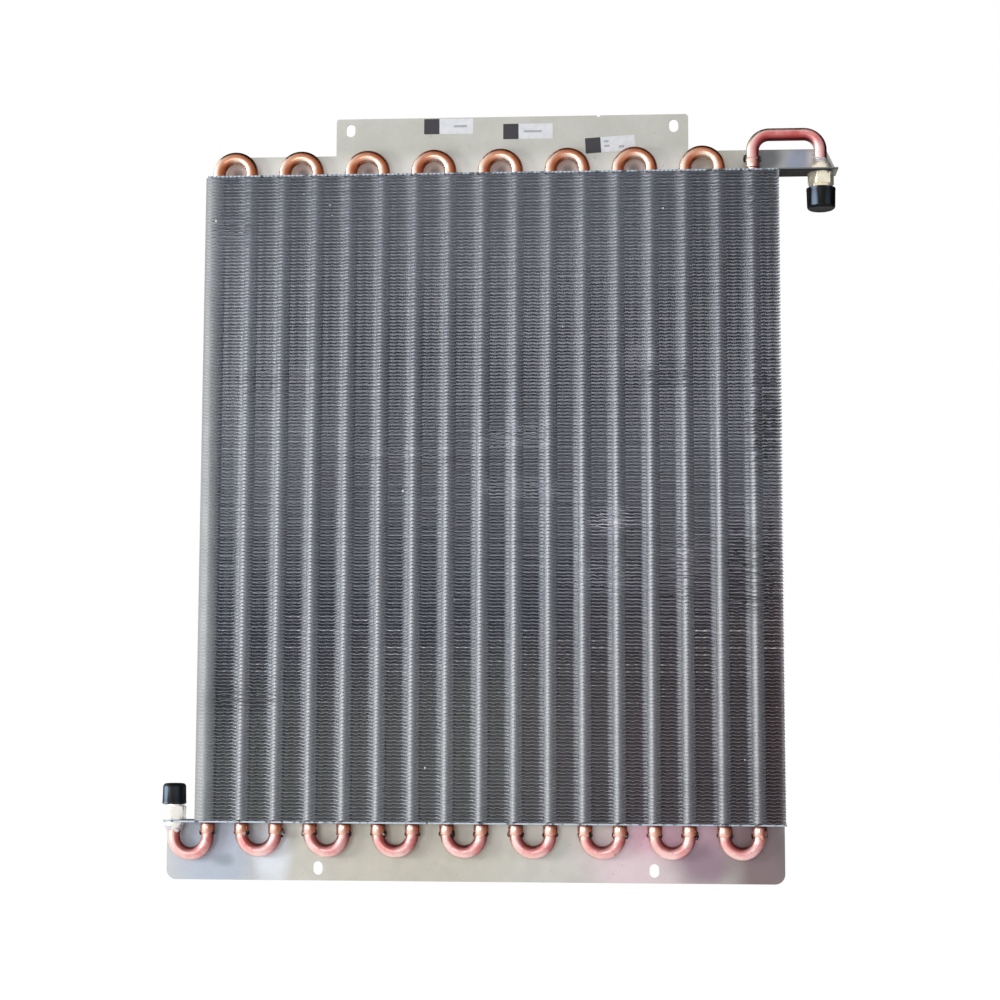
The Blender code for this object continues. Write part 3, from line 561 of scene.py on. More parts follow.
def plate_material():
    """Galvanised sheet with painted reflections and shade, a faint spangle and weathered front edges."""
    paint = Paint("galvanised_sheet", 0.3, 0.42)
    across, depth, height = paint.axis("X"), paint.axis("Y"), paint.axis("Z")
    paint.ground(paint.noise(30, 4.0, 0.55), 0.35, 0.65, (198, 198, 190), (206, 206, 199))
    ahead = paint.facing((0.0, -1.0, 0.0), -0.3, 0.3)
    # Painted reflections and shade on the plates' fronts, fainter on their backs.
    paint.lay_spots(paint.warped(40 * MM, 14), PLATE_REFLECTIONS_AND_SHADE, paint.number("MAXIMUM", ahead, 0.25))

    # Painted light on the front of the upper strip, fading out towards its right end, and in each hairpin's
    # loop a painted pinkish light round a painted shadow of the left leg.
    low_part = paint.fade(height, UPPER_FACE_Z + 2 * MM, UPPER_FACE_Z + UPPER_STRIP_HEIGHT + 6 * MM)
    left_part = paint.fade(across, 150 * MM, 175 * MM)
    strip = paint.times(low_part, left_part, paint.spread(height, 0.4, 0.5), ahead)
    paint.tint((250, 249, 245), strip)
    over = pitch_offset(paint, 2 * TUBE_PITCH)
    up = paint.number("SUBTRACT", height, UPPER_FACE_Z + 6.5 * MM)
    reach = paint.number("SQRT", paint.number("ADD", paint.times(over, over), paint.times(up, up)))
    paint.tint((232, 202, 196), paint.fade(reach, 7 * MM, 13 * MM), strip, 0.7)
    paint.tint((112, 102, 102), paint.fade(reach, 1.5 * MM, 6.5 * MM), strip, 0.9)

    spangle = add_node(paint.tree, "ShaderNodeTexVoronoi", {"Scale": 160, "Vector": paint.point})
    crystal = paint.axis("X", spangle.outputs["Color"])
    paint.tint((120, 122, 128), paint.spread(crystal, 0.0, 1.0, 0.0, 0.05, smooth=False))
    paint.tint((110, 100, 96), paint.spread(paint.noise(420, 2.0, 0.5), 0.70, 0.78, 0.0, 0.45))
    edge = paint.fade(depth, -PLATE_DEPTH + 0.5 * MM, -PLATE_DEPTH + 4.0 * MM)
    blots = paint.spread(paint.noise(190, 3.0, 0.6, (1.0, 0.3, 0.3)), 0.50, 0.66)
    weathered = paint.blend(blots, srgb(186, 198, 212), srgb(74, 82, 92))
    paint.colour = paint.blend(edge, paint.colour, weathered)
    waves = paint.number("SINE", paint.times(across, math.tau / (RIPPLE_LENGTH / 2)))
    roped = paint.spread(waves, -0.4, 0.8, 0.0, 0.55)
    paint.tint((78, 84, 92), roped, edge, paint.spread(height, 0.3, 0.4))

    # Painted shade: the front edges beside the fins are darker, and the upper web's underside beside the fins
    # is nearly black and rough, weaker past the gas union.
    under = paint.fade(height, UPPER_FACE_Z - 1.1 * MM, UPPER_FACE_Z - 0.8 * MM)
    above = paint.spread(height, UPPER_FACE_Z - 6 * MM, UPPER_FACE_Z - 4 * MM)
    beside = paint.spread(across, FINS_HIGH.x - 4 * MM, FINS_HIGH.x + 2 * MM)
    beyond = paint.spread(across, GAS_UNION_X + 6 * MM, GAS_UNION_X + 11 * MM, 1.0, 0.35)
    shaded = paint.times(under, beside, above, beyond)
    paint.tint((112, 116, 122), edge, beside)
    paint.tint((14, 14, 16), shaded, 0.95)
    satin = paint.spread(crystal, 0.0, 1.0, 0.36, 0.46, smooth=False)
    paint.feed("Roughness", paint.number("MAXIMUM", satin, paint.times(shaded, 0.9)))
    paint.bump(paint.noise(35, 2.0, 0.5), 0.6 * MM, 0.25)
    return paint.finished()


def copper_material(name, light, deep, shade_tone, roughness, joints, lit_side, highlight_from=0.05):
    """Drawn copper with draw marks and tarnish, a painted highlight on one side and painted shade on the
    other.
    """
    paint = Paint(name, 1.0, roughness)
    paint.ground(paint.noise(70, 4.0, 0.6), 0.35, 0.65, deep, light)
    uneven = paint.spread(paint.noise(90), 0.2, 0.8, -2 * MM, 2 * MM)
    height = paint.number("ADD", paint.axis("Z"), uneven)
    for joint in joints:
        paint.tint((250, 198, 184), paint.fade(paint.away(height, joint), 4.5 * MM, 7.5 * MM), 0.9)
    tarnish = paint.noise(260, 3.0, 0.6)
    paint.tint((122, 62, 44), paint.spread(tarnish, 0.56, 0.74, 0.0, 0.4))
    # Painted highlights on the riser and round the gas union.
    riser = (LAST_TUBE_X, TUBE_Y, UPPER_FACE_Z + 15 * MM)
    paint.tint((250, 208, 206), paint.patch(paint.point, riser, (14 * MM, 30 * MM, 15 * MM)), 0.6)
    union = (GAS_UNION_X, TUBE_Y, UPPER_FACE_Z + 12 * MM)
    paint.tint((250, 222, 220), paint.patch(paint.point, union, (30 * MM, 30 * MM, 14 * MM)), 0.8)
    # A painted highlight on the side facing lit_side, stronger on the upper tubes, and painted shade on the
    # side facing away.
    lit_highlight = paint.facing(lit_side, highlight_from, highlight_from + 0.6)
    paint.tint((254, 234, 218), lit_highlight, paint.spread(paint.axis("Z"), 0.1, 0.3, 0.45, 0.85))
    paint.tint(shade_tone, paint.facing([-share for share in lit_side], -0.35, 0.55), 0.9)
    paint.feed("Roughness", paint.spread(tarnish, 0.3, 0.75, roughness - 0.06, roughness + 0.16))
    paint.bump(paint.noise(500, 2.0, 0.5, (1.0, 1.0, 0.2)), 0.03 * MM, 0.5)
    return paint.finished()


def braze_material():
    """Braze at the tubes' joints: coppery in front and a dark crust at the sides, with silver spots."""
    paint = Paint("braze", 0.9, 0.42)
    lumps = paint.noise(300, 3.0, 0.6)
    offset = pitch_offset(paint)
    left = paint.fade(offset, -4.8 * MM, -3.4 * MM)
    aside = paint.number("MAXIMUM", left, paint.spread(offset, 1.2 * MM, 3.6 * MM))
    crust = paint.blend(paint.spread(lumps, 0.52, 0.66), srgb(48, 40, 40), srgb(186, 180, 178))
    paint.colour = paint.blend(aside, srgb(214, 156, 140), crust)
    paint.feed("Roughness", paint.spread(lumps, 0.3, 0.7, 0.60, 0.32))
    paint.bump(paint.noise(900, 2.0, 0.6), 0.15 * MM, 0.6)
    return paint.finished()


def pale_braze_material():
    """Silvery braze over the unions' collars, with a few dark spots of flux."""
    paint = Paint("pale_braze", 0.6, 0.42)
    lumps = paint.noise(260, 3.0, 0.6)
    paint.ground(lumps, 0.40, 0.62, (222, 218, 222), (190, 187, 194))
    paint.tint((84, 76, 74), paint.spread(lumps, 0.66, 0.74, 0.0, 0.8))
    paint.bump(paint.noise(700, 2.0, 0.6), 0.12 * MM, 0.5)
    return paint.finished()


def brass_material():
    """Machined brass with fine turning marks, slightly dulled, and greyer on the lower union."""
    paint = Paint("brass", 0.7, 0.32)
    soft = paint.noise(180, 3.0, 0.6)
    paint.ground(soft, 0.35, 0.65, (234, 224, 198), (248, 240, 220))
    paint.tint((248, 247, 242), paint.fade(paint.axis("Z"), 0.1, 0.3), 0.8)
    paint.feed("Roughness", paint.spread(soft, 0.3, 0.7, 0.26, 0.40))
    paint.bump(paint.noise(900, 2.0, 0.5, (0.2, 0.2, 3.0)), 0.03 * MM, 0.5)
    return paint.finished()


def cap_material():
    """Smooth black rubber with a soft gloss, a fine bump and two painted highlight stripes."""
    paint = Paint("cap_rubber", 0.0, 0.34)
    soft = paint.noise(160, 4.0, 0.65)
    paint.ground(soft, 0.45, 0.7, (7, 8, 11), (14, 16, 20))
    # Painted highlight stripes: a bright one on the side facing front left and a weaker one facing front
    # right.
    paint.tint((142, 164, 190), paint.facing((-0.56, -0.83, 0.0), 0.945, 1.0), 0.8)
    paint.tint((60, 70, 86), paint.facing((0.40, -0.92, 0.0), 0.96, 1.0), 0.45)
    paint.feed("Roughness", paint.spread(soft, 0.3, 0.7, 0.32, 0.42))
    paint.shader.inputs["Specular IOR Level"].default_value = 0.16
    paint.bump(paint.noise(1200, 2.0, 0.5), 0.02 * MM, 0.4)
    return paint.finished()


def label_material(name, bars):
    """A white sticker with a dark square at its left end and plain grey bars."""
    paint = Paint(name, 0.0, 0.42)
    across = paint.axis("X")
    up = paint.axis("Z")
    paint.ground(paint.noise(200, 3.0, 0.5), 0.3, 0.7, (226, 230, 236), (240, 242, 246))

    def field(left, right, low, high):
        """1 inside a rectangle on the sticker."""
        return paint.times(
            paint.number("GREATER_THAN", across, left * MM), paint.number("LESS_THAN", across, right * MM),
            paint.number("GREATER_THAN", up, low * MM), paint.number("LESS_THAN", up, high * MM),
        )

    for bar in bars:
        paint.tint((120, 124, 132), field(*bar), 0.6)
    paint.tint((52, 50, 56), field(*LABEL_SQUARE))
    paint.bump(paint.noise(700, 2.0, 0.5), 0.02 * MM, 0.4)
    return paint.finished()


def fleck_material():
    """Specks of paint and lint caught on the fins' edges."""
    paint = Paint("fleck", 0.0, 0.6)
    paint.colour = paint.blend(paint.noise(2500, 2.0, 0.5), srgb(226, 228, 230), srgb(250, 250, 250))
    return paint.finished()


def shown(name, data):
    """A new object in the scene."""
    thing = bpy.data.objects.new(name, data)
    bpy.context.scene.collection.objects.link(thing)
    return thing


def mesh_of(name, bm):
    """A mesh from a bmesh, its faces turned outward."""
    bmesh.ops.recalc_face_normals(bm, faces=bm.faces)
    mesh = bpy.data.meshes.new(name)
    bm.to_mesh(mesh)
    bm.free()
    return mesh


def soften(mesh, angle=SMOOTH_ANGLE):
    """Smooth shading, with the edges beyond an angle left sharp."""
    mesh.shade_smooth()
    mesh.set_sharp_from_angle(angle=angle)


def new_piece(name, bm, material, slot, *nodes, smooth=True, location=(0, 0, 0), tilt=0.0):
    """Turns a bmesh into a piece that rides on the coil and stands for some of its nodes."""
    mesh = mesh_of(name, bm)
    mesh.materials.append(material)
    if smooth:
        soften(mesh)
    piece = shown(name, mesh)
    piece.location = location
    piece.rotation_euler = (0, tilt, 0)
    return settle(piece, slot, *nodes)


def settle(piece, slot, *nodes):
    """Makes a piece ride on the coil and hides the imported parts of the nodes it stands for; its slot is not
    used.
    """
    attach(piece, "root")
    if nodes:
        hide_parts(*nodes)
    return piece


def round_ring(centre, along, radius, sides=TUBE_SIDES):
    """Points of a round section square to a direction in the XZ plane."""
    side = Vector((0, 1, 0)).cross(along)
    angles = [math.tau * step / sides for step in range(sides)]
    return [centre + radius * (math.cos(a) * Vector((0, 1, 0)) + math.sin(a) * side) for a in angles]


def skin(bm, rings, closed=False):
    """Skins a row of rings; a closed row meets its own start, an open one gets end faces."""
    made = [[bm.verts.new(point) for point in ring] for ring in rings]
    pairs = list(zip(made, made[1:]))
    if closed:
        pairs.append((made[-1], made[0]))
    for lower, upper in pairs:
        count = len(lower)
        for index in range(count):
            after = (index + 1) % count
            bm.faces.new((lower[index], lower[after], upper[after], upper[index]))
    if not closed:
        bm.faces.new(made[0])
        bm.faces.new(made[-1])


def bent_route(corners, radius):
    """Places and directions along a route in the XZ plane with each inner corner rounded."""
    points = [Vector((x, TUBE_Y, z)) for x, z in corners]
    stations = [(points[0], (points[1] - points[0]).normalized())]
    for before, corner, after in zip(points, points[1:], points[2:]):
        arriving = (corner - before).normalized()
        leaving = (after - corner).normalized()
        centre = corner - arriving * radius + leaving * radius
        for step in range(TURN_STEPS + 1):
            angle = math.pi / 2 * step / TURN_STEPS
            place = centre - leaving * radius * math.cos(angle) + arriving * radius * math.sin(angle)
            along = arriving * math.cos(angle) + leaving * math.sin(angle)
            if (place - stations[-1][0]).length > FIT_GAP:
                stations.append((place, along))
    stations.append((points[-1], (points[-1] - points[-2]).normalized()))
    return stations


def plain_sections(route):
    """Sections of the plain tube along a route."""
    return [(place, along, TUBE_RADIUS, TUBE_RADIUS - TUBE_WALL) for place, along in route]


def arc(x, z, radius, start, turn, steps=CORNER_STEPS):
    """Points along an arc, from a start angle through a turn."""
    angles = [start + turn * step / steps for step in range(steps + 1)]
    return [(x + radius * math.cos(a), z + radius * math.sin(a)) for a in angles]


def bell_sections(x, face_z, outward, start, leaving):
    """Sections of a widened tube end that stands off a plate, with a softly rounded shoulder."""
    grown = BELL_RADIUS - TUBE_RADIUS
    end = start + BELL_TAPER + BELL_DEPTH
    steps = [(start, 0.0)]
    for step in range(1, SHOULDER_STEPS + 1):
        share = step / SHOULDER_STEPS
        steps.append((start + BELL_TAPER * share, grown * (1 - math.cos(math.pi * share)) / 2))
    steps += [(end - LIP_LENGTH, grown), (end, grown - LIP_ROUND)]
    along = Vector((0, 0, outward if leaving else -outward))
    made = []
    for off, growth in steps:
        outer = TUBE_RADIUS + growth
        made.append((Vector((x, TUBE_Y, face_z + outward * off)), along, outer, outer - TUBE_WALL))
    return made if leaving else made[::-1]


def tube_piece(name, sections, material, *nodes):
    """A hollow tube through sections of place, direction, outer radius and bore."""
    bm = bmesh.new()
    outside = [round_ring(place, along, outer) for place, along, outer, bore in sections]
    inside = [round_ring(place, along, bore) for place, along, outer, bore in sections]
    skin(bm, outside + inside[::-1], closed=True)
    return new_piece(name, bm, material, "copper", *nodes)


def make_tubes():
    """The hairpins, the straight tube, the return bends and the two end lines."""
    low_joint, high_joint = LOWER_FACE_Z - 4.5 * MM, UPPER_FACE_Z + 5 * MM
    upper = copper_material("copper_bright", (226, 156, 118), (198, 118, 82), (132, 70, 46), 0.24,
                            [low_joint], (-0.9, 0.0, -0.35), highlight_from=-0.2)
    last = copper_material("copper_riser", (222, 152, 114), (194, 114, 78), (98, 30, 22), 0.28,
                           [low_joint, high_joint], (-0.9, 0.0, 0.0))
    lower = copper_material("copper_pink", (252, 210, 208), (236, 160, 158), (132, 52, 50), 0.34,
                            [low_joint], (-0.75, 0.0, -0.6))
    line = copper_material("copper_red", (238, 164, 162), (212, 116, 114), (140, 44, 46), 0.32,
                           [], (-0.7, 0.0, 0.7))
    half = TUBE_PITCH / 2
    top = UPPER_FACE_Z + HAIRPIN_RISE + half
    for index in range((TUBE_COUNT - 1) // 2):
        x = FIRST_TUBE_X + 2 * index * TUBE_PITCH
        over = x + TUBE_PITCH
        route = bent_route(((x, LOWER_FACE_Z), (x, top), (over, top), (over, LOWER_FACE_Z)), half)
        sections = bell_sections(x, LOWER_FACE_Z, -1, BELL_START, leaving=False)
        sections += plain_sections(route[1:-1])
        sections += bell_sections(over, LOWER_FACE_Z, -1, BELL_START, leaving=True)
        tube_piece(f"hairpin_{index + 1}", sections, upper, f"hairpin_tube_{index + 1}")

    sections = bell_sections(LAST_TUBE_X, LOWER_FACE_Z, -1, BELL_START, leaving=False)
    sections += bell_sections(LAST_TUBE_X, UPPER_FACE_Z, 1, RISER_BELL_START, leaving=True)
    tube_piece("last_tube", sections, last, "straight_tube")

    start = LOWER_FACE_Z - BELL_END + INSERT_DEPTH
    bottom = LOWER_FACE_Z - RETURN_DROP - half
    for index in range((TUBE_COUNT - 1) // 2):
        x = FIRST_TUBE_X + (2 * index + 1) * TUBE_PITCH
        over = x + TUBE_PITCH
        route = bent_route(((x, start), (x, bottom), (over, bottom), (over, start)), half)
        tube_piece(f"lower_bend_{index + 1}", plain_sections(route), lower, f"return_bend_{index + 1}")

    foot = UPPER_FACE_Z + RISER_BELL_START + BELL_TAPER + BELL_DEPTH - INSERT_DEPTH
    level = UPPER_FACE_Z + INLET_RISE
    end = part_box("gas_inlet_tube")[0].z
    route = bent_route(((LAST_TUBE_X, foot), (LAST_TUBE_X, level), (GAS_UNION_X, level), (GAS_UNION_X, end)),
                       INLET_BEND_RADIUS)
    tube_piece("inlet_line", plain_sections(route), line, "gas_inlet_tube")

    bottom = LOWER_FACE_Z - OUTLET_DROP - half
    end = LOWER_FACE_Z - LIQUID_COLLAR + UNION_SOCKET_DEPTH - 2 * FIT_GAP
    route = bent_route(((LIQUID_UNION_X, end), (LIQUID_UNION_X, bottom), (FIRST_TUBE_X, bottom),
                        (FIRST_TUBE_X, start)), half)
    tube_piece("outlet_bend", plain_sections(route), lower, "liquid_outlet_bend")


def lumpy_ring(bm, centre, ring_radius, bead, tall, rng, blobs=()):
    """An uneven bead of braze round an upright tube; a blob is (angle from +X, size)."""
    around, across = 48, 10
    phases = rng.uniform(0, math.tau, (5, 2))
    weights = rng.uniform(0.06, 0.18, 5)
    rings = []
    for u in range(around):
        angle = math.tau * u / around
        waves = [w * np.sin((k + 1) * angle + p) for k, (w, p) in enumerate(zip(weights, phases))]
        swell, drift = 0.75 + sum(wave[0] for wave in waves), sum(wave[1] for wave in waves)
        for at, size in blobs:
            gap = abs((angle - at + math.pi) % math.tau - math.pi)
            swell += size * math.exp(-(gap / BLOB_WIDTH) ** 2)
        radial = Vector((math.cos(angle), math.sin(angle), 0))
        ring = []
        for v in range(across):
            turn = math.tau * v / across
            reach = ring_radius + bead * swell * math.cos(turn)
            lift = Vector((0, 0, tall * (swell * math.sin(turn) + drift)))
            ring.append(centre + radial * reach + lift)
        rings.append(ring)
    skin(bm, rings, closed=True)


def side_blobs(rng):
    """Lumps of braze at both sides of a joint."""
    return [(side + rng.normal(0, BLOB_SCATTER), rng.uniform(*BLOB_SIZES)) for side in BLOB_SIDES]


def make_braze():
    """The beads of braze at every joint."""
    rng = np.random.default_rng(11)
    bm = bmesh.new()
    mouth = LOWER_FACE_Z - BELL_END
    for index in range(TUBE_COUNT):
        centre = Vector((FIRST_TUBE_X + index * TUBE_PITCH, TUBE_Y, mouth))
        lumpy_ring(bm, centre, *JOINT_BEAD, rng, side_blobs(rng))
    riser = UPPER_FACE_Z + RISER_BELL_START + BELL_TAPER + BELL_DEPTH
    centre = Vector((LAST_TUBE_X, TUBE_Y, riser))
    lumpy_ring(bm, centre, *RISER_BEAD, rng, RISER_BLOBS)
    new_piece("braze_beads", bm, braze_material(), "copper")


def fin_columns():
    """The places of a fin's columns along X, and the ripple at each."""
    count = round((FINS_HIGH.x - FINS_LOW.x) / RIPPLE_LENGTH * RIPPLE_SAMPLES) + 1
    places = np.linspace(FINS_LOW.x, FINS_HIGH.x, count)
    return places, np.cos(math.tau * (places - FIRST_TUBE_X) / RIPPLE_LENGTH)


def fin_grid(level, places, ripple, rng):
    """Heights of one fin's mid surface: a row of columns for each step through its depth."""
    own = rng.normal(0, FIN_SCATTER)
    phases = rng.uniform(0, math.tau, len(DRIFT_RATES))
    drift = sum(DRIFT_RISE * np.sin(places * rate + phase) for rate, phase in zip(DRIFT_RATES, phases))
    x_mm, z_mm = places / MM, level / MM
    bend = np.zeros_like(places)
    for x, z, half_width, half_height, push in DENTS:
        near = np.exp(-((x_mm - x) / half_width) ** 4 - ((z_mm - z) / half_height) ** 4)
        waver = sum(np.sin(places * rate + rng.uniform(0, 6)) for rate in WAVER_RATES)
        bend += push * near * (rng.uniform(0.0, 0.9) + 0.3 * waver)
    rows = []
    for row_ripple, kink, free in zip(ROW_RIPPLE, ROW_KINK, ROW_BEND):
        height = level + own + drift + row_ripple * RIPPLE_RISE * ripple + kink * KINK_RISE + free * bend * MM
        rows.append(np.minimum(height, FIN_CEILING))
    return np.array(rows)


def fin_faces(columns, rows, open_cells):
    """Faces of one fin, with a hole where each tube passes."""
    size = columns * rows
    faces = []

    def solid(column, row):
        inside = 0 <= column < columns - 1 and 0 <= row < rows - 1
        return inside and (column, row) not in open_cells

    for row in range(rows - 1):
        for column in range(columns - 1):
            if not solid(column, row):
                continue
            a = row * columns + column
            b, c, d = a + 1, a + columns + 1, a + columns
            faces.append((a, b, c, d))
            faces.append((a + size, d + size, c + size, b + size))
            if not solid(column, row - 1):
                faces.append((a, a + size, b + size, b))
            if not solid(column, row + 1):
                faces.append((c, c + size, d + size, d))
            if not solid(column - 1, row):
                faces.append((d, d + size, a + size, a))
            if not solid(column + 1, row):
                faces.append((b, b + size, c + size, c))
    return np.array(faces)


def make_fins():
    """The fins: thin rippled sheets with a crease behind the tubes, in a few pieces."""
    rng = np.random.default_rng(7)
    places, ripple = fin_columns()
    columns, rows = len(places), len(FIN_ROWS)
    depths = FINS_LOW.y + np.array(FIN_ROWS) * (FINS_HIGH.y - FINS_LOW.y)
    per_tube = round(TUBE_PITCH / RIPPLE_LENGTH * RIPPLE_SAMPLES)
    first = round((FIRST_TUBE_X - FINS_LOW.x) / TUBE_PITCH * per_tube)
    reach = RIPPLE_SAMPLES // 2
    open_cells = {(first + tube * per_tube + step, TUBE_ROW)
                  for tube in range(TUBE_COUNT) for step in range(-reach, reach)}
    faces = fin_faces(columns, rows, open_cells)
    x_grid, y_grid = np.meshgrid(places, depths)
    material = fin_material()
    count = round((FINS_HIGH.z - FINS_LOW.z) / FIN_PITCH) + 1
    low = FINS_LOW.z + (FINS_HIGH.z - FINS_LOW.z - (count - 1) * FIN_PITCH) / 2
    for piece_number, start in enumerate(range(0, count, FINS_PER_PIECE)):
        points, polygons = [], []
        for index in range(start, min(start + FINS_PER_PIECE, count)):
            z_grid = fin_grid(low + index * FIN_PITCH, places, ripple, rng)
            for lift in (FIN_THICK / 2, -FIN_THICK / 2):
                points.append(np.stack([x_grid, y_grid, z_grid + lift], axis=-1).reshape(-1, 3))
            polygons.append(faces + 2 * columns * rows * (index - start))
        name = f"fins_{piece_number + 1}"
        mesh = bpy.data.meshes.new(name)
        mesh.from_pydata(np.concatenate(points).tolist(), [], np.concatenate(polygons).tolist())
        mesh.materials.append(material)
        soften(mesh, FIN_SMOOTH_ANGLE)
        settle(shown(name, mesh), "fins", "fin_pack")


def upright_sheet(bm, x, y, section, low, high):
    """Adds a thin upright sheet over a section of places across and back from a line."""
    front = [(x + across, y + back, low) for across, back in section]
    rear = [(px, py + SLEEVE_WALL, pz) for px, py, pz in front[::-1]]
    prism(bm, front + rear, (0, 0, high - low))


def make_sleeves():
    """The fins' collars, which close into one sleeve round each tube, and the pack's closed left end."""
    material = sleeve_material()
    up = Vector((0, 0, 1))
    low = LOWER_FACE_Z + PLATE_THICK + SLEEVE_GAP
    high = UPPER_FACE_Z - PLATE_THICK - SLEEVE_GAP
    for index in range(TUBE_COUNT):
        x = FIRST_TUBE_X + index * TUBE_PITCH
        ends = [Vector((x, TUBE_Y, z)) for z in (low, high)]
        outside = [round_ring(end, up, SLEEVE_RADIUS) for end in ends]
        inside = [round_ring(end, up, SLEEVE_RADIUS - SLEEVE_WALL) for end in ends]
        bm = bmesh.new()
        skin(bm, outside + inside[::-1], closed=True)
        upright_sheet(bm, x, TUBE_Y, COLLAR_SKIRT, low, high)
        new_piece(f"collars_{index + 1}", bm, material, "fins", "fin_pack")
    bm = bmesh.new()
    upright_sheet(bm, FINS_LOW.x, FINS_LOW.y, END_STRIP, low, high)
    new_piece("left_end", bm, end_material(), "fins", "fin_pack")


def rounded_corner(corner, before, after, radius):
    """Points of an arc that rounds one corner of an outline."""
    here = Vector(corner)
    back = (Vector(before) - here).normalized()
    ahead = (Vector(after) - here).normalized()
    half = back.angle(ahead) / 2
    centre = here + (back + ahead).normalized() * radius / math.sin(half)
    first = here + back * radius / math.tan(half) - centre
    last = here + ahead * radius / math.tan(half) - centre
    points = []
    for step in range(CORNER_STEPS + 1):
        spoke = first.lerp(last, step / CORNER_STEPS).normalized() * radius
        points.append(tuple(centre + spoke))
    return points


def rounded_outline(corners):
    """An outline from corners of (x, z, radius)."""
    points = []
    count = len(corners)
    for index, (x, z, radius) in enumerate(corners):
        before = corners[index - 1][:2]
        after = corners[(index + 1) % count][:2]
        points += rounded_corner((x, z), before, after, radius) if radius else [(x, z)]
    return points


def prism(bm, corners, sweep):
    """Adds a prism over a flat face to a bmesh."""
    face = bm.faces.new([bm.verts.new(corner) for corner in corners])
    moved = bmesh.ops.extrude_face_region(bm, geom=[face])["geom"]
    tops = [item for item in moved if isinstance(item, bmesh.types.BMVert)]
    bmesh.ops.translate(bm, vec=sweep, verts=tops)


def loose_object(name, bm):
    """An object that takes part in a cut and isn't a piece itself."""
    return shown(name, mesh_of(name, bm))


def carved_mesh(blank, cutters):
    """The mesh of a blank after its cuts; the blank and the cutters are removed."""
    for cutter, operation in cutters:
        modifier = blank.modifiers.new(operation.lower(), "BOOLEAN")
        modifier.operation = operation
        modifier.object = cutter
        modifier.solver = "EXACT"
    depsgraph = bpy.context.evaluated_depsgraph_get()
    mesh = bpy.data.meshes.new_from_object(blank.evaluated_get(depsgraph))
    for obj in [blank] + [cutter for cutter, operation in cutters]:
        bpy.data.objects.remove(obj, do_unlink=True)
    return mesh


def folded_blank(name, left, right, face_z, outward, height):
    """A sheet folded along its rear edge: a level web and an upright flange."""
    inner = FOLD_RADIUS - PLATE_THICK
    quarter = math.pi / 2
    section = [(-PLATE_DEPTH, 0), (-PLATE_DEPTH, -PLATE_THICK)]
    section += arc(-FOLD_RADIUS, inner, FOLD_RADIUS, -quarter, quarter)
    section += [(0, height), (-PLATE_THICK, height)]
    section += arc(-FOLD_RADIUS, inner, inner, 0.0, -quarter)
    bm = bmesh.new()
    prism(bm, [(left, y, face_z + outward * z) for y, z in section], (right - left, 0, 0))
    return loose_object(name, bm)


def outline_cutter(name, outlines, near, far):
    """A cutter through a flange: prisms over outlines in the XZ plane, from near to far along Y."""
    bm = bmesh.new()
    for outline in outlines:
        prism(bm, [(x, near, z) for x, z in outline], (0, far - near, 0))
    return loose_object(name, bm)


def slot_outline(x, z):
    """An upright oblong with round ends."""
    radius = SLOT_WIDTH / 2
    straight = (SLOT_LENGTH - SLOT_WIDTH) / 2
    return (arc(x, z + straight, radius, 0.0, math.pi, 2 * CORNER_STEPS)
            + arc(x, z - straight, radius, math.pi, math.pi, 2 * CORNER_STEPS))


def hole_cutter(name, posts, middle_z):
    """A cutter of upright posts through a level web."""
    bm = bmesh.new()
    up = Vector((0, 0, 1))
    for x, radius in posts:
        ends = [Vector((x, TUBE_Y, middle_z + off)) for off in (-CUT_REACH, CUT_REACH)]
        skin(bm, [round_ring(end, up, radius) for end in ends])
    return loose_object(name, bm)


def corner_cutter(name, left, front, radius, middle_z):
    """A cutter that rounds the front left corner of a level web, seen from above."""
    outside_x, outside_y = left - CUT_REACH, front - CUT_REACH
    rounding = rounded_corner((left, front), (left + radius, front), (left, front + radius), radius)
    outline = [(outside_x, outside_y), (left + radius, outside_y), *rounding, (outside_x, front + radius)]
    bm = bmesh.new()
    prism(bm, [(x, y, middle_z - CUT_REACH) for x, y in outline], (0, 0, 2 * CUT_REACH))
    return loose_object(name, bm)


def plate_piece(name, mesh, material, node):
    """A finished sheet with its sharp edges broken."""
    mesh.materials.clear()
    mesh.materials.append(material)
    piece = shown(name, mesh)
    bevel = piece.modifiers.new("edges", "BEVEL")
    bevel.width = EDGE_BEVEL
    bevel.segments = 1
    bevel.limit_method = "ANGLE"
    bevel.angle_limit = SMOOTH_ANGLE
    soften(mesh)
    return settle(piece, "plate", node)


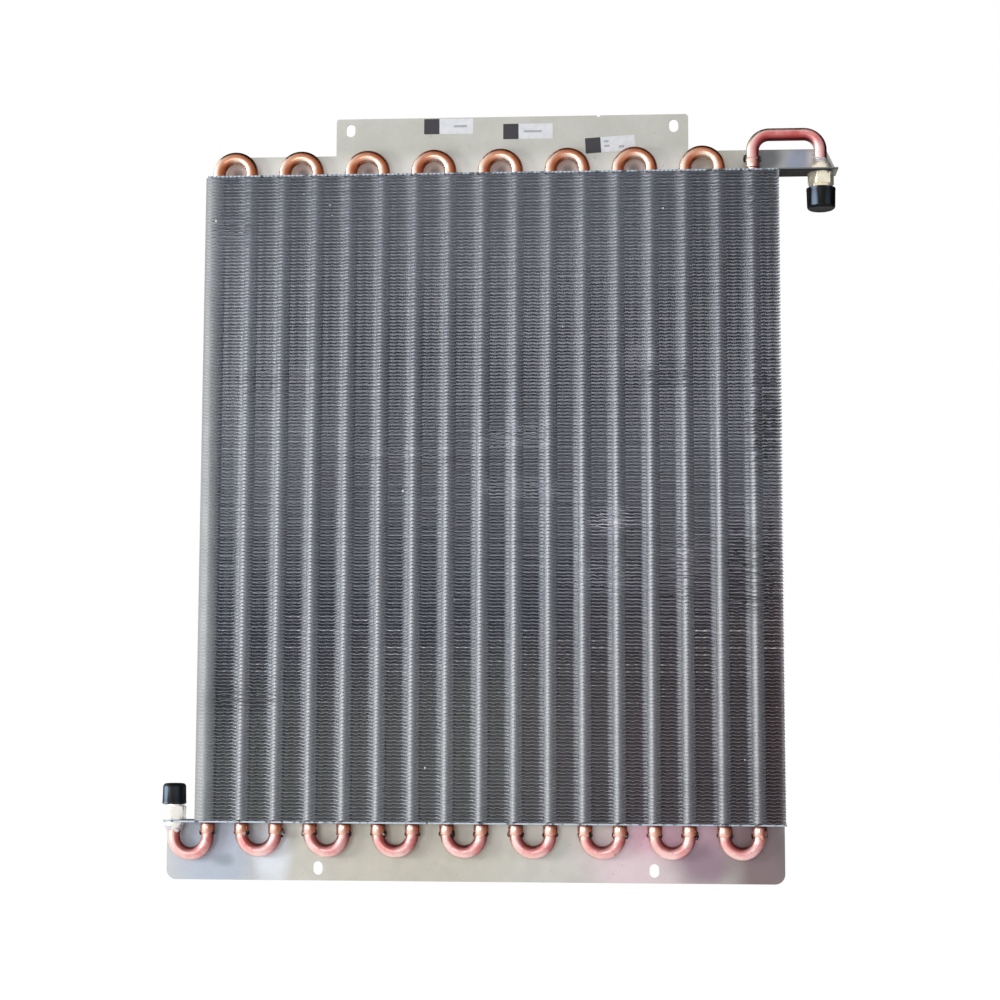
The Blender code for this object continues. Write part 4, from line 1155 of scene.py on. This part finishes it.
def make_plates():
    """Both end plates, cut from folded sheets."""
    material = plate_material()
    tube_holes = [(FIRST_TUBE_X + index * TUBE_PITCH, TUBE_RADIUS + FIT_GAP) for index in range(TUBE_COUNT)]
    near, far = -2 * PLATE_DEPTH, PLATE_DEPTH

    left, right = LOWER_PLATE_LOW.x, LOWER_PLATE_HIGH.x
    low, high = LOWER_PLATE_LOW.z, LOWER_FACE_Z + 2 * PLATE_THICK
    blank = folded_blank("lower_sheet", left, right, LOWER_FACE_Z, -1, LOWER_FLANGE_HEIGHT)
    outline = rounded_outline((
        (left, high, 0),
        (left, low, LOWER_CORNER_RADIUS),
        (right, low, LOWER_CORNER_RADIUS),
        (right, high, 0),
    ))
    holes = tube_holes + [(LIQUID_UNION_X, UNION_NECK + FIT_GAP)]
    slots = [slot_outline(side * LOWER_SLOT_SPACING / 2, 0) for side in (-1, 1)]
    mesh = carved_mesh(blank, (
        (outline_cutter("trim", [outline], near, far), "INTERSECT"),
        (corner_cutter("corner", left, -PLATE_DEPTH, LOWER_WEB_CORNER_RADIUS, LOWER_FACE_Z), "DIFFERENCE"),
        (hole_cutter("holes", holes, LOWER_FACE_Z), "DIFFERENCE"),
        (outline_cutter("slots", slots, -3 * PLATE_THICK, 3 * PLATE_THICK), "DIFFERENCE"),
    ))
    plate_piece("lower_plate", mesh, material, "lower_end_plate")

    left, right = UPPER_PLATE_LOW.x, UPPER_PLATE_HIGH.x
    low, relief = UPPER_FACE_Z - 2 * PLATE_THICK, UPPER_FACE_Z + FOLD_RADIUS
    strip, tab = UPPER_FACE_Z + UPPER_STRIP_HEIGHT, UPPER_FACE_Z + UPPER_TAB_HEIGHT
    strip_left = FIRST_TUBE_X + UPPER_STRIP_START
    tab_left, tab_right = UPPER_SLOT_SHIFT - UPPER_TAB_WIDTH / 2, UPPER_SLOT_SHIFT + UPPER_TAB_WIDTH / 2
    blank = folded_blank("upper_sheet", left, right, UPPER_FACE_Z, 1, UPPER_TAB_HEIGHT)
    outline = rounded_outline((
        (left, low, 0),
        (right, low, 0),
        (right, strip - STRIP_CHAMFER_HEIGHT, 0),
        (right - STRIP_CHAMFER_WIDTH, strip, STRIP_CORNER_RADIUS),
        (tab_right, strip, 0),
        (tab_right, tab, UPPER_TAB_CORNER_RADIUS),
        (tab_left, tab, UPPER_TAB_CORNER_RADIUS),
        (tab_left, strip, 0),
        (strip_left, strip, STRIP_CORNER_RADIUS),
        (strip_left, relief, 0),
        (left, relief, 0),
    ))
    holes = tube_holes + [(GAS_UNION_X, UNION_NECK + FIT_GAP)]
    slots = [slot_outline(UPPER_SLOT_SHIFT + side * UPPER_SLOT_SPACING / 2, tab - SLOT_EDGE)
             for side in (-1, 1)]
    nick = arc(UPPER_SLOT_SHIFT + NICK_OFFSET, tab, NICK_RADIUS, 0.0, math.tau, NICK_STEPS)[:-1]
    mesh = carved_mesh(blank, (
        (outline_cutter("trim", [outline], near, far), "INTERSECT"),
        (hole_cutter("holes", holes, UPPER_FACE_Z), "DIFFERENCE"),
        (outline_cutter("slots", slots + [nick], -3 * PLATE_THICK, 3 * PLATE_THICK), "DIFFERENCE"),
    ))
    plate_piece("upper_plate", mesh, material, "upper_end_plate")


def turned_ring(x, z, radius, hexagon=None):
    """A horizontal ring; a hexagon is (distance across flats, turn), cut off at the ring's radius."""
    points = []
    for step in range(UNION_SIDES):
        angle = math.tau * step / UNION_SIDES
        reach = radius
        if hexagon:
            across, turn = hexagon
            from_flat = (angle + math.pi / 6) % (math.pi / 3) - math.pi / 6
            reach = min(radius, across / 2 / math.cos(from_flat))
            angle += turn
        points.append(Vector((x + reach * math.sin(angle), TUBE_Y + reach * math.cos(angle), z)))
    return points


def union_piece(name, node, x, face_z, outward, hexagon, outline, material):
    """A union of revolution with a hexagon; its outline is the collar, the hexagon and the stub."""
    collar, nut, stub = outline
    rings = []
    for part, form in ((collar, None), (nut, hexagon), (stub, None)):
        rings += [turned_ring(x, face_z + outward * z * MM, radius * MM, form) for z, radius in part]
    bm = bmesh.new()
    skin(bm, rings, closed=True)
    return new_piece(name, bm, material, "brass", node)


def make_unions():
    """The two brass unions, with the braze over their collars."""
    brass = brass_material()
    union_piece("gas_fitting", "gas_union", GAS_UNION_X, UPPER_FACE_Z, 1, GAS_HEX, GAS_OUTLINE, brass)
    union_piece("liquid_fitting", "liquid_union", LIQUID_UNION_X, LOWER_FACE_Z, -1, LIQUID_HEX,
                LIQUID_OUTLINE, brass)
    rng = np.random.default_rng(5)
    bm = bmesh.new()
    gas = (GAS_UNION_X, UPPER_FACE_Z, 1, GAS_BEADS)
    liquid = (LIQUID_UNION_X, LOWER_FACE_Z, -1, LIQUID_BEADS)
    for x, face_z, outward, beads in (gas, liquid):
        for z, radius, bead, tall in beads:
            centre = Vector((x, TUBE_Y, face_z + outward * z * MM))
            lumpy_ring(bm, centre, radius * MM, bead * MM, tall * MM, rng)
    new_piece("union_braze", bm, pale_braze_material(), "copper")


def cap_piece(name, node, x, outward, bore, depth, material):
    """A soft cap over a thread: a cup with a rounded end and a thin bead round its mouth."""
    low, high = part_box(node)
    mouth = high.z if outward > 0 else low.z
    radius, length = (high.x - low.x) / 2, high.z - low.z
    profile = [(-depth, CAP_CENTRE), (-depth, bore), (-0.3 * MM, bore), (0, bore + 0.3 * MM),
               (0, radius - 0.3 * MM), (-0.1 * MM, radius - 0.08 * MM), (-0.4 * MM, radius),
               (-1.6 * MM, radius), (-1.9 * MM, radius - 0.12 * MM)]
    end = arc(radius - CAP_TAPER - CAP_ROUNDING, length - CAP_ROUNDING, CAP_ROUNDING, 0.0, math.pi / 2)
    profile += [(-z, reach) for reach, z in end]
    profile.append((-length, CAP_CENTRE))
    bm = bmesh.new()
    skin(bm, [turned_ring(x, mouth + outward * z, reach) for z, reach in profile])
    return new_piece(name, bm, material, "cap", node)


def make_caps():
    """The two black caps, seated over the unions' threads."""
    material = cap_material()
    cap_piece("gas_cover", "gas_cap", GAS_UNION_X, 1, GAS_CAP_BORE, GAS_CAP_DEPTH, material)
    cap_piece("liquid_cover", "liquid_cap", LIQUID_UNION_X, -1, LIQUID_CAP_BORE, LIQUID_CAP_DEPTH, material)


def make_labels():
    """Three stickers on the tab, each with a dark square and plain bars."""
    width, height = LABEL_WIDTH / 2, LABEL_HEIGHT / 2
    outline = rounded_outline([(x * width, z * height, LABEL_CORNER)
                               for x, z in ((-1, -1), (1, -1), (1, 1), (-1, 1))])
    for node, name, tilt, bars in LABELS:
        low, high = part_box(node)
        bm = bmesh.new()
        prism(bm, [(x, 0, z) for x, z in outline], (0, -LABEL_THICK, 0))
        place = ((low.x + high.x) / 2, -PLATE_THICK - LABEL_GAP, (low.z + high.z) / 2)
        new_piece(name, bm, label_material(name, bars), "label", node, smooth=False, location=place,
                  tilt=-tilt)


def make_specks():
    """Small flecks stuck to the fins' front edges."""
    rng = np.random.default_rng(3)
    bm = bmesh.new()
    for x, z, size in SPECKS:
        made = bmesh.ops.create_icosphere(bm, subdivisions=2, radius=size * MM)["verts"]
        squeeze = Vector((rng.uniform(0.7, 1.3), 0.35, rng.uniform(0.6, 1.2)))
        for vert in made:
            lump = 1 + 0.25 * math.sin(vert.co.x * 4000 + size) * math.cos(vert.co.z * 3500)
            vert.co = vert.co * squeeze * lump + Vector((x * MM, FINS_LOW.y + SPECK_DEPTH, z * MM))
    new_piece("flecks", bm, fleck_material(), "fins")


def light_path_share(tree):
    """1 for camera, glossy and transmission rays, and 0 for the rest."""
    path = tree.nodes.new("ShaderNodeLightPath")
    share = path.outputs["Is Camera Ray"]
    for name in ("Is Glossy Ray", "Is Transmission Ray"):
        node = add_node(tree, "ShaderNodeMath", {0: share, 1: path.outputs[name]})
        node.operation = "MAXIMUM"
        share = node.outputs[0]
    return share


def flat_card(name, corners, material):
    """A flat four-cornered card."""
    mesh = bpy.data.meshes.new(name)
    mesh.from_pydata(corners, [], [(0, 1, 2, 3)])
    mesh.materials.append(material)
    return shown(name, mesh)


def make_floor():
    """A wide pale floor that keeps the coil's shadow."""
    material = bpy.data.materials.new("floor_white")
    material.use_nodes = True
    tree = material.node_tree
    tree.nodes.clear()
    diffuse = add_node(tree, "ShaderNodeBsdfDiffuse", {"Color": (0.8, 0.8, 0.8, 1)})
    glow = add_node(tree, "ShaderNodeEmission", {"Strength": FLOOR_GLOW})
    share = add_node(tree, "ShaderNodeMath", {0: light_path_share(tree), 1: FLOOR_GLOW_SHARE})
    share.operation = "MULTIPLY"
    shaders = {0: share.outputs[0], 1: diffuse.outputs[0], 2: glow.outputs[0]}
    mix = add_node(tree, "ShaderNodeMixShader", shaders)
    add_node(tree, "ShaderNodeOutputMaterial", {"Surface": mix.outputs[0]})
    level = cad_low.z - FLOOR_DROP
    corners = [(x * FLOOR_REACH, y * FLOOR_REACH, level) for x, y in ((-1, -1), (1, -1), (1, 1), (-1, 1))]
    floor = flat_card("floor", corners, material)


def make_world():
    """A white surround, with a softer level for the light it gives."""
    world = bpy.data.worlds.new("surround")
    bpy.context.scene.world = world
    world.use_nodes = True
    tree = world.node_tree
    values = {"Value": light_path_share(tree), "To Min": WORLD_LIGHT, "To Max": 1.0}
    level = add_node(tree, "ShaderNodeMapRange", values)
    background = tree.nodes["Background"]
    join(tree, background.inputs["Strength"], level.outputs["Result"])
    background.inputs["Color"].default_value = (1, 1, 1, 1)


def make_lamp(name, place, width, height, energy):
    """A soft rectangular lamp aimed at the middle of the coil."""
    lamp = bpy.data.lights.new(name, "AREA")
    lamp.shape = "RECTANGLE"
    lamp.size = width
    lamp.size_y = height
    lamp.energy = energy
    holder = shown(name, lamp)
    holder.location = place
    holder.rotation_euler = (LAMP_TARGET - Vector(place)).to_track_quat("-Z", "Y").to_euler()


def make_lights():
    """Low light from the front left, light square to the left side, and a little behind the camera."""
    for lamp in LAMPS:
        make_lamp(*lamp)


def make_flag(name, corners, cloth):
    """A dark card that only mirror-like surfaces see, as a studio sets one to deepen metal."""
    flag = flat_card(name, corners, cloth)
    flag.visible_camera = False
    flag.visible_diffuse = False
    flag.visible_transmission = False
    flag.visible_shadow = False


def make_flags():
    """Dark cards behind, to the right of and above the coil."""
    paint = Paint("flag_cloth", 0.0, 1.0)
    paint.colour = (0.02, 0.02, 0.02, 1)
    cloth = paint.finished()
    near, far, side, top = -0.4, 1.3, 1.3, 1.8
    make_flag("flag_rear", [(-side, far, 0), (side, far, 0), (side, far, top), (-side, far, top)], cloth)
    make_flag("flag_right", [(side, near, 0), (side, far, 0), (side, far, top), (side, near, top)], cloth)
    make_flag("flag_top", [(-side, near, top), (side, near, top), (side, far, top), (-side, far, top)], cloth)


def make_camera():
    """The camera at the photograph's place, its view turned by yaw, pitch and roll."""
    camera = bpy.data.cameras.new("camera")
    camera.lens = CAMERA_LENS
    camera.sensor_width = 36
    holder = shown("camera", camera)
    turn = Matrix.Rotation(CAMERA_YAW, 4, "Z") @ Matrix.Rotation(CAMERA_PITCH, 4, "X")
    turn = turn @ Matrix.Rotation(CAMERA_ROLL, 4, "Y") @ Matrix.Rotation(math.pi / 2, 4, "X")
    holder.matrix_world = Matrix.Translation(CAMERA_PLACE) @ turn
    bpy.context.scene.camera = holder


make_camera()
make_world()
make_lights()
make_flags()
make_floor()
make_fins()
make_sleeves()
make_plates()
make_tubes()
make_braze()
make_unions()
make_caps()
make_labels()
make_specks()
bpy.context.scene.view_settings.view_transform = "Standard"
